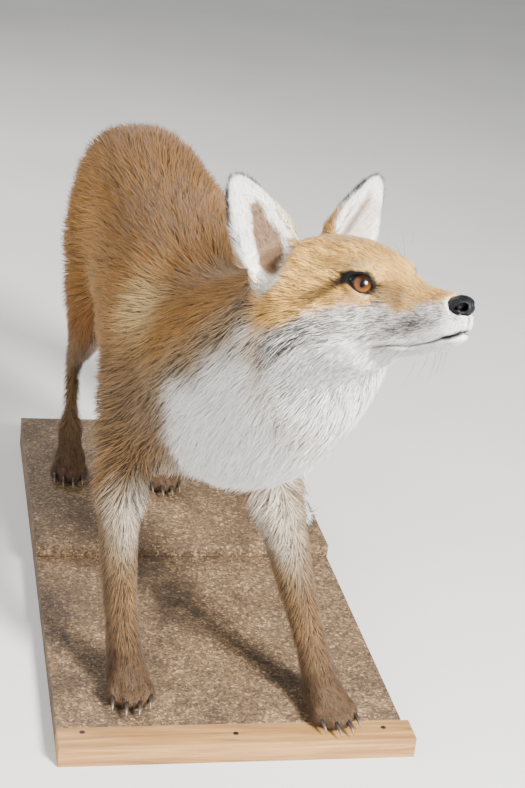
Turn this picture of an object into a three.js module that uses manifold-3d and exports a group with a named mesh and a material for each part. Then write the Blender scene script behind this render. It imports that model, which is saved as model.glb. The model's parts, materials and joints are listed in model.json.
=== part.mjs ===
// A mounted red fox standing on a low wooden base, its forelegs spread, its head raised and turned left.
// Millimetres, +Z up. The fox faces -Y and its own left is +X.
// The origin is the centre of the underside of the base.
import * as THREE from "three";
import { mergeVertices } from "three/addons/utils/BufferGeometryUtils.js";
import Module from "manifold-3d";

const wasm = await Module();
wasm.setup();

// ---------------------------------------------------------------- driving dimensions
const SEAM = 0.35; // clear gap between touching pieces

// Base: one panel, a batten along its front edge and a raised board over its rear half.
const BASE_WIDTH = 280;
const BASE_LENGTH = 574;
const PANEL_THICKNESS = 18;
const BATTEN_DEPTH = 26;
const BATTEN_OVERHANG = 6; // the batten runs past the panel on the fox's left
const REAR_BOARD_LENGTH = 282;
const REAR_BOARD_THICKNESS = 12;
const FRONT_FLOOR = PANEL_THICKNESS; // level under the forepaws
const REAR_FLOOR = PANEL_THICKNESS + SEAM + REAR_BOARD_THICKNESS; // level under the hind paws

// Trunk: a spine that runs back and a little to the fox's right.
const CHEST_DEPTH = 186;
const CHEST_HALF_WIDTH = 80;
const LOIN_HALF_WIDTH = 67;
const WITHERS_HEIGHT = 386;
const RUMP_HEIGHT = 404;

// Head, in its own frame: origin midway between the eyes, facing -Y.
const HEAD_PLACE = [34, -367, 430];
const HEAD_YAW = 38.5; // turned to the fox's left
const HEAD_PITCH = 22; // nose raised
const HEAD_ROLL = 7; // crown leans to the fox's left
const NOSE_REACH = 67; // nose tip ahead of the eyes
const EYE_SPACING = 43.5; // between the centres of the eyeballs
const EYE_ADVANCE = 1.5; // centre of each eyeball ahead of the line between the eyes
const EYE_RADIUS = 9.4;
const NOSE_LEVEL = -19.5;
const MOUTH_LEVEL = -36.5;
const MOUTH_CORNER = 4; // ahead of the eyes
const EAR_HALF_WIDTH = 25;
const EAR_WALL = 3.2;

// Legs and feet.
const LEFT_FOREPAW = [77, -243];
const RIGHT_FOREPAW = [-80, -209];
const LEFT_HINDPAW = [-8, 142];
const RIGHT_HINDPAW = [-98, 158];
const FOREPAW_HALF_WIDTH = 21;
const HINDPAW_HALF_WIDTH = 19;
const CLAW_LENGTH = 15;
const CLAW_RADIUS = 2.3;

// Largest reach of any piece from the origin, for cutting blocks.
const FAR = 400;

// Colours of the pieces.
const RUSSET = 0xa9713f;
const TAWNY = 0xc29160;
const WHITE_FUR = 0xe8e2d6;
const GREY_BROWN = 0x8a765f;
const SOOT = 0x2e241d;
const HORN = 0x7d6e58;
const AMBER = 0x8a4a14;
const NOSE_BLACK = 0x17161a;
const CHIPBOARD = 0x6f5638;
const PALE_PINE = 0xb98d5a;

// ---------------------------------------------------------------- solids
const radians = THREE.MathUtils.degToRad;
const vector = (place) => new THREE.Vector3(...place);

function solidFromGeometry(geometry) {
  const bare = geometry.clone();
  bare.deleteAttribute("normal");
  bare.deleteAttribute("uv");
  const merged = mergeVertices(bare, 1e-4);
  const vertProperties = new Float32Array(merged.attributes.position.array);
  const triVerts = new Uint32Array(merged.index.array);
  return new wasm.Manifold(new wasm.Mesh({ numProp: 3, vertProperties, triVerts }));
}

function geometryFromSolid(solid) {
  const mesh = solid.getMesh();
  const geometry = new THREE.BufferGeometry();
  geometry.setAttribute("position", new THREE.BufferAttribute(new Float32Array(mesh.vertProperties), 3));
  geometry.setIndex(new THREE.BufferAttribute(new Uint32Array(mesh.triVerts), 1));
  geometry.computeVertexNormals();
  return geometry;
}

// Smallest reach of a ring and height of its rounded tip.
const TIP = 0.6;
const TIP_HEIGHT = 0.4;

/** A signed power, which turns a circle into a rounder or squarer ring. */
const bulge = (value, fullness) => Math.sign(value) * Math.abs(value) ** (2 / fullness);

/**
 * A closed body of rings along a smooth line. A station is [place, half width, reach up, reach down];
 * both ends draw in to a rounded tip. `upward` is the direction that the reach up points to.
 */
function loft(stations, { sides, rings, upward = [0, 0, 1], fullness = 2, grow = 0 }) {
  const line = new THREE.CatmullRomCurve3(stations.map(([place]) => vector(place)), false, "catmullrom");
  const reachLine = new THREE.CatmullRomCurve3(
    stations.map(([, ...reach]) => vector(reach)), false, "catmullrom");
  const points = [];
  const triangles = [];
  for (let ring = 0; ring <= rings; ring += 1) {
    const along = 0.5 - 0.5 * Math.cos((Math.PI * ring) / rings);
    const centre = line.getPoint(along);
    const heading = line.getTangent(along);
    const sideways = heading.clone().cross(vector(upward)).normalize();
    const lift = sideways.clone().cross(heading);
    const [wide, up, down] = reachLine.getPoint(along).toArray().map((reach) => Math.max(reach, TIP) + grow);
    for (let side = 0; side < sides; side += 1) {
      const angle = (2 * Math.PI * side) / sides;
      const across = wide * bulge(Math.cos(angle), fullness);
      const height = (Math.sin(angle) > 0 ? up : down) * bulge(Math.sin(angle), fullness);
      const point = centre.clone().addScaledVector(sideways, across).addScaledVector(lift, height);
      points.push(...point.toArray());
    }
  }
  for (let ring = 0; ring < rings; ring += 1) {
    for (let side = 0; side < sides; side += 1) {
      const next = (side + 1) % sides;
      const [a, b] = [ring * sides + side, ring * sides + next];
      const [c, d] = [a + sides, b + sides];
      triangles.push(a, c, b, b, c, d);
    }
  }
  const [start, end] = [points.length / 3, points.length / 3 + 1];
  points.push(...line.getPoint(0).addScaledVector(line.getTangent(0), -TIP_HEIGHT - grow).toArray());
  points.push(...line.getPoint(1).addScaledVector(line.getTangent(1), TIP_HEIGHT + grow).toArray());
  for (let side = 0; side < sides; side += 1) {
    const next = (side + 1) % sides;
    triangles.push(start, side, next);
    triangles.push(end, rings * sides + next, rings * sides + side);
  }
  const vertProperties = new Float32Array(points);
  const triVerts = new Uint32Array(triangles);
  return new wasm.Manifold(new wasm.Mesh({ numProp: 3, vertProperties, triVerts }));
}

/** An egg of the given half sizes. */
function egg(place, reach, { sides = 12, rings = 8, turn = 0, grow = 0 } = {}) {
  const geometry = new THREE.SphereGeometry(1, sides, rings);
  geometry.rotateX(Math.PI / 2);
  geometry.scale(...reach.map((value) => value + grow));
  geometry.rotateZ(radians(turn));
  geometry.translate(...place);
  return solidFromGeometry(geometry);
}

function box(low, high) {
  const size = high.map((value, axis) => value - low[axis]);
  const geometry = new THREE.BoxGeometry(...size);
  geometry.translate(...low.map((value, axis) => value + size[axis] / 2));
  return solidFromGeometry(geometry);
}

/** The block of space past `place` in the given direction, used to part one piece from the next. */
function beyond(place, direction, width, length, grow = 0) {
  const geometry = new THREE.BoxGeometry(width + 2 * grow, width + 2 * grow, length + grow);
  geometry.translate(0, 0, (length - grow) / 2);
  const turn = new THREE.Quaternion().setFromUnitVectors(
    new THREE.Vector3(0, 0, 1), vector(direction).normalize());
  geometry.applyQuaternion(turn);
  geometry.translate(...place);
  return solidFromGeometry(geometry);
}

const join = (solids) => solids.reduce((whole, next) => whole.add(next));

/** The largest connected piece, without the crumbs that a cut can leave. */
function mainBody(solid) {
  return solid.decompose().reduce((best, next) => (next.volume() > best.volume() ? next : best));
}

// ---------------------------------------------------------------- scene graph
const fox = new THREE.Group();

function addPiece(name, solid, colour, roughness) {
  const material = new THREE.MeshStandardMaterial({ color: colour, roughness, metalness: 0 });
  const mesh = new THREE.Mesh(geometryFromSolid(solid), material);
  mesh.name = name;
  fox.add(mesh);
}

// ---------------------------------------------------------------- wooden base
const [baseLeft, baseRight] = [-BASE_WIDTH / 2, BASE_WIDTH / 2];
const [baseFront, baseBack] = [-BASE_LENGTH / 2, BASE_LENGTH / 2];
const rearBoardFront = baseBack - REAR_BOARD_LENGTH;

function addBase() {
  const panelFront = baseFront + BATTEN_DEPTH + SEAM;
  const panel = box([baseLeft, panelFront, 0], [baseRight, baseBack, PANEL_THICKNESS]);
  const batten = box([baseLeft, baseFront, 0],
    [baseRight + BATTEN_OVERHANG, baseFront + BATTEN_DEPTH, PANEL_THICKNESS]);
  const rearBoard = box([baseLeft, rearBoardFront, PANEL_THICKNESS + SEAM], [baseRight, baseBack, REAR_FLOOR]);
  addPiece("base_panel", panel, CHIPBOARD, 0.8);
  addPiece("base_front_batten", batten, PALE_PINE, 0.6);
  addPiece("base_rear_board", rearBoard, CHIPBOARD, 0.8);
}

// ---------------------------------------------------------------- trunk and neck
function trunkSolid() {
  const station = (y, top, bottom, x, wide) => {
    const middle = top - (top - bottom) * 0.48;
    return [[x, y, middle], wide, top - middle, middle - bottom];
  };
  const chestFloor = WITHERS_HEIGHT - CHEST_DEPTH;
  return loft([
    station(-232, 312, 258, -24, 14),
    station(-220, 348, 210, -25, 62),
    station(-184, 374, chestFloor - 12, -28, CHEST_HALF_WIDTH + 3),
    station(-110, WITHERS_HEIGHT, chestFloor - 4, -32, CHEST_HALF_WIDTH + 5),
    station(-40, WITHERS_HEIGHT, chestFloor + 9, -34, CHEST_HALF_WIDTH),
    station(30, WITHERS_HEIGHT + 4, chestFloor + 26, -40, LOIN_HALF_WIDTH + 6),
    station(100, RUMP_HEIGHT - 2, chestFloor + 46, -48, LOIN_HALF_WIDTH + 2),
    station(155, RUMP_HEIGHT, chestFloor + 58, -53, LOIN_HALF_WIDTH),
    station(186, RUMP_HEIGHT - 14, chestFloor + 70, -55, LOIN_HALF_WIDTH - 14),
    station(206, RUMP_HEIGHT - 44, chestFloor + 102, -56, LOIN_HALF_WIDTH - 34),
    station(212, RUMP_HEIGHT - 66, chestFloor + 122, -56, 8),
  ], { sides: 20, rings: 18, fullness: 2.15 });
}

function neckSolid() {
  return loft([
    [[-24, -120, 292], 20, 20, 20],
    [[-24, -150, 298], 74, 72, 92],
    [[-18, -205, 308], 80, 70, 104],
    [[-8, -258, 338], 74, 62, 98],
    [[4, -304, 372], 64, 54, 80],
    [[16, -336, 398], 52, 42, 56],
    [[24, -352, 410], 20, 14, 20],
  ], { sides: 20, rings: 12, fullness: 2.1 });
}

// ---------------------------------------------------------------- head
const headTurn = new THREE.Matrix4().makeRotationFromEuler(
  new THREE.Euler(radians(-HEAD_PITCH), radians(HEAD_ROLL), radians(HEAD_YAW), "ZXY"));
headTurn.setPosition(...HEAD_PLACE);

/** A place in the head's frame: ahead of the eyes, to the fox's left, and up. */
const inHead = (ahead, left, up) => vector([left, -ahead, up]).applyMatrix4(headTurn).toArray();
const headDirection = (ahead, left, up) => vector([left, -ahead, up]).transformDirection(headTurn).toArray();
const placeInHead = (solid) => solid.transform(headTurn.elements);

function skullSolid() {
  // [ahead of the eyes, half width, top, level of the widest line, bottom]
  const profile = [
    [-96, 16, 4, -14, -34],
    [-84, 40, 22, -16, -52],
    [-60, 53, 35, -18, -66],
    [-36, 52, 37, -20, -64],
    [-14, 43, 33, -19, -58],
    [3, 32.5, 24, -19, -53],
    [15, 25, 9, -22, -51],
    [28, 20, -1, -25, -49],
    [44, 16.5, -7, -26, -47],
    [NOSE_REACH - 11, 13.5, -11, -27, -43],
    [NOSE_REACH - 5, 9.5, -15, -27, -39],
    [NOSE_REACH - 1, 5, -20, -28, -33],
  ];
  const stations = profile.map(([ahead, wide, top, level, bottom]) =>
    [[0, -ahead, level], wide, top - level, level - bottom]);
  return loft(stations, { sides: 20, rings: 18, fullness: 2.1 });
}

function browSolids() {
  return [-1, 1].map((side) => egg([side * 19, 8, 7], [12, 18, 11], { sides: 10, rings: 6, turn: side * 14 }));
}

function eyeSolid(side, grow = 0) {
  const place = [(side * EYE_SPACING) / 2, -EYE_ADVANCE, 0];
  return egg(place, [EYE_RADIUS, EYE_RADIUS, EYE_RADIUS], { sides: 14, rings: 8, grow });
}

/** The shallow hollow between brow and cheek in which an eye lies. */
function orbitSolid(side) {
  return egg([side * 33, -6, 0], [7, 13, 8.5], { sides: 10, rings: 6, turn: side * -32 });
}

function nosePad(grow = 0) {
  return egg([0, -(NOSE_REACH - 7), NOSE_LEVEL], [9.2, 9, 7.2], { sides: 12, rings: 7, grow });
}

function noseSolid() {
  const nostrils = [-1, 1].map((side) =>
    egg([side * 6.4, -(NOSE_REACH - 1), NOSE_LEVEL], [3, 4.5, 2.1], { sides: 6, rings: 4 }));
  return nosePad().subtract(join(nostrils));
}

// Ear outline from below the crown to the tip: [part of the length, half width, half depth].
const EAR_OUTLINE = [
  [-0.16, 0.7, 0.56],
  [0, 1, 0.6],
  [0.25, 1, 0.5],
  [0.5, 0.84, 0.38],
  [0.75, 0.6, 0.25],
  [0.92, 0.36, 0.16],
  [1, 0.14, 0.1],
];
const EAR_SCOOP = EAR_OUTLINE.slice(1);

/** The tapering form of an ear: the whole of it, or the hollow in its front. */
function earForm(outline, { tip, foot, facing }, { shrink = 0, forward = 0, longer = 1 }) {
  const axis = vector(tip).sub(vector(foot));
  const reach = axis.length();
  const form = loft(outline.map(([part, wide, deep]) => {
    const depth = EAR_HALF_WIDTH * deep - shrink;
    return [[0, -forward, part * reach * longer], EAR_HALF_WIDTH * wide - shrink, depth, depth];
  }), { sides: 12, rings: 8, upward: [0, -1, 0] });
  const up = axis.clone().normalize();
  const back = vector(facing).multiplyScalar(-1);
  back.addScaledVector(up, -back.dot(up)).normalize();
  const across = back.clone().cross(up);
  const stand = new THREE.Matrix4().makeBasis(across, back, up).setPosition(...foot);
  return placeInHead(form.transform(stand.elements));
}

/** An ear is a cup open to the front. */
function earSolid(shape) {
  const hollow = earForm(EAR_SCOOP, shape, { shrink: EAR_WALL, forward: EAR_WALL * 2.2, longer: 0.94 });
  return earForm(EAR_OUTLINE, shape, {}).subtract(hollow);
}

const EARS = {
  right_ear: { foot: [-29, 60, 17], tip: [-56, 65, 78], facing: [-0.4, -0.9, -0.05] },
  left_ear: { foot: [29, 54, 18], tip: [73, 47, 73], facing: [0.12, -1, 0] },
};

// ---------------------------------------------------------------- legs, paws and claws
function forelegSolid(stations) {
  return loft(stations, { sides: 12, rings: 13, upward: [0, -1, 0.2] });
}

const LEFT_FORELEG = [
  [[6, -132, 318], 20, 34, 34],
  [[14, -148, 268], 36, 50, 46],
  [[24, -172, 214], 31, 35, 38],
  [[36, -198, 166], 21, 23, 26],
  [[51, -222, 112], 16, 18, 19],
  [[65, -234, 70], 14.5, 15, 16],
  [[73, -238, 42], 15, 16, 16],
  [[75, -240, 26], 12, 12, 12],
];
const RIGHT_FORELEG = [
  [[-72, -130, 318], 20, 34, 34],
  [[-84, -146, 268], 36, 50, 46],
  [[-91, -166, 214], 30, 35, 38],
  [[-94, -186, 166], 18, 21, 25],
  [[-91, -196, 112], 16, 18, 19],
  [[-86, -202, 70], 15, 16, 17],
  [[-82, -204, 42], 16, 17, 17],
  [[-81, -206, 26], 12, 12, 12],
];

/** A hind leg: thigh, bent back at the stifle, up-slanting hock, and the upright bone above the paw. */
function hindlegStations([x, y], lean) {
  return [
    [[x + lean, y - 36, 360], 24, 34, 34],
    [[x + lean * 0.9, y - 38, 312], 42, 70, 60],
    [[x + lean * 0.6, y - 54, 254], 33, 54, 52],
    [[x + lean * 0.35, y - 42, 205], 22, 32, 34],
    [[x + lean * 0.15, y, 166], 14, 18, 22],
    [[x, y + 30, 138], 12, 13, 15],
    [[x, y + 26, 100], 12, 12, 13],
    [[x, y + 12, 62], 13, 13, 13],
    [[x, y + 4, 46], 11, 11, 11],
  ];
}

const TOE_SPREAD = [-0.72, -0.25, 0.25, 0.72]; // across the paw, in half widths
const TOE_ADVANCE = [19, 27, 27, 19]; // ahead of the middle of the paw
const TOE_REACH = [7.2, 13, 10.5];
const TOE_HEIGHT = 9;
const PAD_HEIGHT = 14;
const CLAW_ROOT = 6; // ahead of the middle of the toe

function toePlace({ place: [x, y], floor, half, turn }, toe) {
  const offset = vector([TOE_SPREAD[toe] * half, -TOE_ADVANCE[toe], 0]);
  offset.applyAxisAngle(vector([0, 0, 1]), radians(turn));
  return [x + offset.x, y + offset.y, floor + TOE_HEIGHT];
}

function pawSolid(foot, grow = 0) {
  const { place: [x, y], floor, half, turn } = foot;
  const middle = egg([x, y, floor + PAD_HEIGHT], [half * 0.92, 27, 15], { turn, grow, sides: 10, rings: 6 });
  const toes = TOE_SPREAD.map((_, toe) =>
    egg(toePlace(foot, toe), TOE_REACH, { turn, grow, sides: 6, rings: 4 }));
  return join([middle, ...toes]);
}

function clawSolid(foot, toe) {
  const [x, y, z] = toePlace(foot, toe);
  const ahead = vector([0, -1, 0]).applyAxisAngle(vector([0, 0, 1]), radians(foot.turn));
  const station = (part, height, thickness) => {
    const distance = CLAW_ROOT + part * CLAW_LENGTH;
    const reach = CLAW_RADIUS * thickness;
    return [[x + ahead.x * distance, y + ahead.y * distance, z + height], reach * 0.85, reach, reach];
  };
  return loft([
    station(0, 2, 1),
    station(0.4, 1.5, 1.2),
    station(0.8, -2, 0.8),
    station(1, -5.6, 0.3),
  ], { sides: 6, rings: 3 });
}

// ---------------------------------------------------------------- tail
const TAIL_LINE = [
  [[-54, 150, 362], 15, 15, 15],
  [[-50, 204, 352], 23, 22, 22],
  [[-32, 244, 298], 31, 29, 29],
  [[10, 250, 222], 39, 36, 36],
  [[58, 216, 148], 43, 39, 39],
  [[92, 154, 94], 39, 36, 36],
  [[110, 92, 63], 29, 27, 27],
  [[119, 48, 48], 15, 14, 14],
  [[121, 28, 42], 3, 3, 3],
];

const tailSolid = (grow = 0) => loft(TAIL_LINE, { sides: 14, rings: 18, grow });

// ---------------------------------------------------------------- assembly
addBase();

const frontSole = FRONT_FLOOR + SEAM;
const rearSole = REAR_FLOOR + SEAM;
const feet = [
  { name: "left_forepaw", place: LEFT_FOREPAW, floor: frontSole, half: FOREPAW_HALF_WIDTH, turn: 12 },
  { name: "right_forepaw", place: RIGHT_FOREPAW, floor: frontSole, half: FOREPAW_HALF_WIDTH, turn: 2 },
  { name: "left_hindpaw", place: LEFT_HINDPAW, floor: rearSole, half: HINDPAW_HALF_WIDTH, turn: 4 },
  { name: "right_hindpaw", place: RIGHT_HINDPAW, floor: rearSole, half: HINDPAW_HALF_WIDTH, turn: -6 },
];

let flesh = join([
  trunkSolid(),
  neckSolid(),
  placeInHead(join([skullSolid(), ...browSolids()])),
  forelegSolid(LEFT_FORELEG),
  forelegSolid(RIGHT_FORELEG),
  loft(hindlegStations(LEFT_HINDPAW, -12), { sides: 12, rings: 15, upward: [0, -1, 0.1] }),
  loft(hindlegStations(RIGHT_HINDPAW, 12), { sides: 12, rings: 15, upward: [0, -1, 0.1] }),
  ...feet.map((foot) => pawSolid(foot)),
]);
flesh = flesh.subtract(box([-FAR, -FAR, -FAR], [FAR, rearBoardFront, frontSole]));
flesh = flesh.subtract(box([-FAR, rearBoardFront, -FAR], [FAR, FAR, rearSole]));

/** Takes one named piece off the flesh and leaves a seam between the two. */
function partOff(name, region, colour, hollows = []) {
  let piece = flesh.intersect(region(0));
  hollows.forEach((hollow) => { piece = piece.subtract(hollow); });
  addPiece(name, mainBody(piece), colour, 0.9);
  flesh = flesh.subtract(region(SEAM));
}

const past = (place, direction, width, length) => (grow) => beyond(place, direction, width, length, grow);

/** A block in the head's frame; places are [left, back, up]. */
const headBlock = (low, high) => (grow) => placeInHead(
  box(low.map((value) => value - grow), high.map((value) => value + grow)));

const eyes = [-1, 1].map((side) => placeInHead(eyeSolid(side)));
const eyeSockets = [-1, 1].map((side) => placeInHead(eyeSolid(side, SEAM)));
const orbits = [-1, 1].map((side) => placeInHead(orbitSolid(side)));
const nose = placeInHead(noseSolid());
const noseSeat = placeInHead(nosePad(SEAM));

const earSeats = Object.values(EARS).map((shape) => earForm(EAR_OUTLINE, shape, { shrink: -SEAM }));
const headHollows = [...eyeSockets, ...orbits, noseSeat, ...earSeats];
partOff("lower_jaw", headBlock([-40, -90, -90], [40, -MOUTH_CORNER, MOUTH_LEVEL]), WHITE_FUR, [noseSeat]);
partOff("head", past(inHead(-80, 0, 0), headDirection(1, 0, 0), 220, 220), TAWNY, headHollows);
partOff("neck", past([-20, -222, 322], [0.1, -0.8, 0.58], 240, 200), WHITE_FUR);

const ankles = {
  left_forepaw: past([70, -237, 56], [0.2, -0.2, -1], 110, 80),
  right_forepaw: past([-83, -204, 56], [0.05, -0.1, -1], 110, 80),
  left_hindpaw: past([-8, 152, 78], [0, -0.15, -1], 90, 90),
  right_hindpaw: past([-98, 168, 78], [0, -0.15, -1], 90, 90),
};
feet.forEach((foot) => {
  const grownPaw = pawSolid(foot, SEAM);
  TOE_SPREAD.forEach((_, toe) => {
    addPiece(`${foot.name}_claw_${toe + 1}`, mainBody(clawSolid(foot, toe).subtract(grownPaw)), HORN, 0.45);
  });
  partOff(foot.name, ankles[foot.name], GREY_BROWN);
});
partOff("left_foreleg", past([30, -188, 186], [0.34, -0.42, -0.85], 130, 200), GREY_BROWN);
partOff("right_foreleg", past([-93, -180, 186], [-0.05, -0.25, -1], 110, 200), GREY_BROWN);
partOff("left_hindleg", past([-22, 120, 252], [0, 0.1, -1], 150, 200), RUSSET);
partOff("right_hindleg", past([-93, 130, 252], [0, 0.1, -1], 150, 200), RUSSET);
addPiece("trunk", mainBody(flesh.subtract(tailSolid(SEAM))), RUSSET, 0.9);

addPiece("right_eye", eyes[0], AMBER, 0.08);
addPiece("left_eye", eyes[1], AMBER, 0.08);
addPiece("nose", nose, NOSE_BLACK, 0.35);

Object.entries(EARS).forEach(([name, shape]) => addPiece(name, mainBody(earSolid(shape)), SOOT, 0.9));

let tail = tailSolid();
const tailCuts = {
  tail_tip: [[94, 148, 90], [0.3, -0.8, -0.4]],
  tail_middle: [[-8, 250, 252], [0.55, 0, -0.8]],
};
Object.entries(tailCuts).forEach(([name, [place, direction]]) => {
  const colour = name === "tail_tip" ? WHITE_FUR : RUSSET;
  addPiece(name, mainBody(tail.intersect(beyond(place, direction, FAR, FAR))), colour, 0.9);
  tail = tail.subtract(beyond(place, direction, FAR, FAR, SEAM));
});
addPiece("tail_root", mainBody(tail), RUSSET, 0.9);

export default fox;
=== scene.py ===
# %% [markdown]
# # A mounted red fox, made in Blender
# A taxidermist stretches a tanned skin over a carved form, sets glass eyes and leaves the coat to do the
# rest. The lesson goes the same way: one bare skin, then eyes, lids, nose and claws, then the coat, lock
# by lock, and last the boards that the fox stands on. Everything is in metres, and the fox faces -Y.

# %% The frame that the looks are built around
import json
import math

import bpy
import numpy as np
from mathutils import Matrix, Vector
from mathutils.bvhtree import BVHTree
from mathutils.kdtree import KDTree

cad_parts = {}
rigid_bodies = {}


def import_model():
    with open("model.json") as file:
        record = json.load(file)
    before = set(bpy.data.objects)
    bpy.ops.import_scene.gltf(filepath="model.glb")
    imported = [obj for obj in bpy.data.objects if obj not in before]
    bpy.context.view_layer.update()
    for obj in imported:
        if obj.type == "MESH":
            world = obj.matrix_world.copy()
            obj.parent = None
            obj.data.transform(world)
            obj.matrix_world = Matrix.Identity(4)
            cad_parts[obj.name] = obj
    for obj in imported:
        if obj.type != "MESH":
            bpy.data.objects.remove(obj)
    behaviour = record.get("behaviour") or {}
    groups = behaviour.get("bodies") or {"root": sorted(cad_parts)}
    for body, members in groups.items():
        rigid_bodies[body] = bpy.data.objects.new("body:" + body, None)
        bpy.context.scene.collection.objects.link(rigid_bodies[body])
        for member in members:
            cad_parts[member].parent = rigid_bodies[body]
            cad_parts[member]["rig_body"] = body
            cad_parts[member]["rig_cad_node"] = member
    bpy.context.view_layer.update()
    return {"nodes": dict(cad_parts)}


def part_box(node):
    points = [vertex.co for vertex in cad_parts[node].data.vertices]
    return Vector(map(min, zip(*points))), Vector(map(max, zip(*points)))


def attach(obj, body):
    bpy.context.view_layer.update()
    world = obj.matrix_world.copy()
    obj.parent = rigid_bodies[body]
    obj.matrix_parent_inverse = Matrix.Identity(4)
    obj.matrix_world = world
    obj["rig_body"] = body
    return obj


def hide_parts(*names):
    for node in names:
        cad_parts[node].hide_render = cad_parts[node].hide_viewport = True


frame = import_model()
nodes = frame["nodes"]
MM = 0.001
chance = np.random.default_rng(20)
print("solids in the frame:", len(nodes))

# %% [markdown]
# Colours are easiest to choose as the hex values that a paint chart gives. Blender works with linear
# light, so one function turns a hex value into linear numbers, and everything here goes through it. The
# other helpers do what every piece needs: a pattern, a bump, a modifier, a join, normals that face out.

# %% Helpers for colours, materials and objects
def linear(code):
    """The linear red, green and blue of an sRGB hex value such as "C9A468"."""
    steps = np.array([int(code[k:k + 2], 16) / 255 for k in (0, 2, 4)])
    return np.where(steps <= 0.04045, steps / 12.92, ((steps + 0.055) / 1.055) ** 2.4)


def add_node(tree, kind, settings=None, links=None):
    """Adds one shader node; settings go to its properties or sockets, links come from other sockets."""
    node = tree.nodes.new(kind)
    for name, value in (settings or {}).items():
        if isinstance(name, int) or name in node.inputs:
            node.inputs[name].default_value = value
        else:
            setattr(node, name, value)
    for name, source in (links or {}).items():
        tree.links.new(source, node.inputs[name])
    return node


def new_material(title, roughness, **sockets):
    """A material with one Principled shader, whose constant values sit on its own sockets."""
    material = bpy.data.materials.new(title)
    material.use_nodes = True
    shader = material.node_tree.nodes["Principled BSDF"]
    shader.inputs["Roughness"].default_value = roughness
    for name, value in sockets.items():
        shader.inputs[name.replace("_", " ")].default_value = value
    return material, material.node_tree, shader


def colour_ramp(tree, factor, stops):
    """A ramp from a list of (place, hex) stops."""
    ramp = add_node(tree, "ShaderNodeValToRGB", links={"Fac": factor})
    elements = ramp.color_ramp.elements
    while len(elements) < len(stops):
        elements.new(0.5)
    for element, (place, code) in zip(elements, stops):
        element.position = place
        element.color = (*linear(code), 1)
    return ramp.outputs["Color"]


def object_places(tree):
    """The socket with an object's own coordinates; each material has one such node."""
    node = tree.nodes.get("Texture Coordinate") or add_node(tree, "ShaderNodeTexCoord")
    return node.outputs["Object"]


def noise(tree, size, detail=2.0, **settings):
    """A noise on an object's own coordinates; size is the length of its patches in metres."""
    return add_node(tree, "ShaderNodeTexNoise", {"Scale": 1 / size, "Detail": detail, **settings},
                    {"Vector": object_places(tree)})


def mixed_colour(tree, factor, first, second, blend="MIX"):
    """A mix of two colours; each may be a socket or a hex value, and the factor a socket or a number."""
    node = add_node(tree, "ShaderNodeMix", {"data_type": "RGBA", "blend_type": blend})
    for key, value in (("Factor", factor), (6, first), (7, second)):
        if isinstance(value, bpy.types.NodeSocket):
            tree.links.new(value, node.inputs[key])
        elif isinstance(value, str):
            node.inputs[key].default_value = (*linear(value), 1)
        else:
            node.inputs[key].default_value = value
    return node.outputs[2]


def from_range(tree, value, before, after):
    """A value moved from one range to another, and held inside it."""
    settings = {"From Min": before[0], "From Max": before[1], "To Min": after[0], "To Max": after[1]}
    return add_node(tree, "ShaderNodeMapRange", settings, {"Value": value}).outputs["Result"]


def set_colour(tree, shader, colour):
    tree.links.new(colour, shader.inputs["Base Color"])


def set_bump(tree, shader, height, strength, distance):
    """Raises and lowers the surface by a height socket, by up to a distance in metres."""
    settings = {"Strength": strength, "Distance": distance}
    bump = add_node(tree, "ShaderNodeBump", settings, {"Height": height})
    tree.links.new(bump.outputs["Normal"], shader.inputs["Normal"])


def deselect():
    bpy.ops.object.select_all(action="DESELECT")


def activate(piece):
    deselect()
    piece.select_set(True)
    bpy.context.view_layer.objects.active = piece


def apply_modifier(piece, kind, **settings):
    activate(piece)
    modifier = piece.modifiers.new(kind, kind)
    for name, value in settings.items():
        setattr(modifier, name, value)
    bpy.ops.object.modifier_apply(modifier=modifier.name)


def joined(title, pieces):
    """Several objects joined into the first of them."""
    deselect()
    for piece in pieces:
        piece.select_set(True)
    bpy.context.view_layer.objects.active = pieces[0]
    if len(pieces) > 1:
        bpy.ops.object.join()
    pieces[0].name = pieces[0].data.name = title
    return pieces[0]


def face_outward(piece):
    """Turns all normals outward and shades the piece smoothly."""
    activate(piece)
    bpy.ops.object.mode_set(mode="EDIT")
    bpy.ops.mesh.select_all(action="SELECT")
    bpy.ops.mesh.normals_make_consistent(inside=False)
    bpy.ops.object.mode_set(mode="OBJECT")
    bpy.ops.object.shade_smooth()


def new_piece(title, mesh):
    piece = bpy.data.objects.new(title, mesh)
    bpy.context.scene.collection.objects.link(piece)
    return piece


def paint_points(mesh, name, kind, values):
    """Stores a value, a direction or a colour at each point of a mesh, for its material to read."""
    field = {"FLOAT": "value", "FLOAT_VECTOR": "vector", "FLOAT_COLOR": "color"}[kind]
    layer = mesh.attributes.new(name, kind, "POINT")
    layer.data.foreach_set(field, np.asarray(values, np.float32).ravel())


def painted(tree, name):
    return add_node(tree, "ShaderNodeAttribute", {"attribute_name": name})


deselect()
print("helpers ready")

# %% [markdown]
# The camera comes first, because it decides how fine each piece must be. It looks down on the fox from
# the front and a little from its right, with a slight roll, as a visitor looks into a low showcase.

# %% Camera
CAMERA_PLACE = Vector((-0.252, -1.262, 0.742))
CAMERA_HEADING = math.radians(-13.7)
CAMERA_PITCH = math.radians(23.0)
CAMERA_ROLL = math.radians(6.8)
VIEW_WIDTH, VIEW_HEIGHT = 525, 788  # pixels
FOCAL_PIXELS = 1550
SENSOR = 36  # millimetres, along the long side of the view
FOCAL_LENGTH = FOCAL_PIXELS * SENSOR / VIEW_HEIGHT

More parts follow.
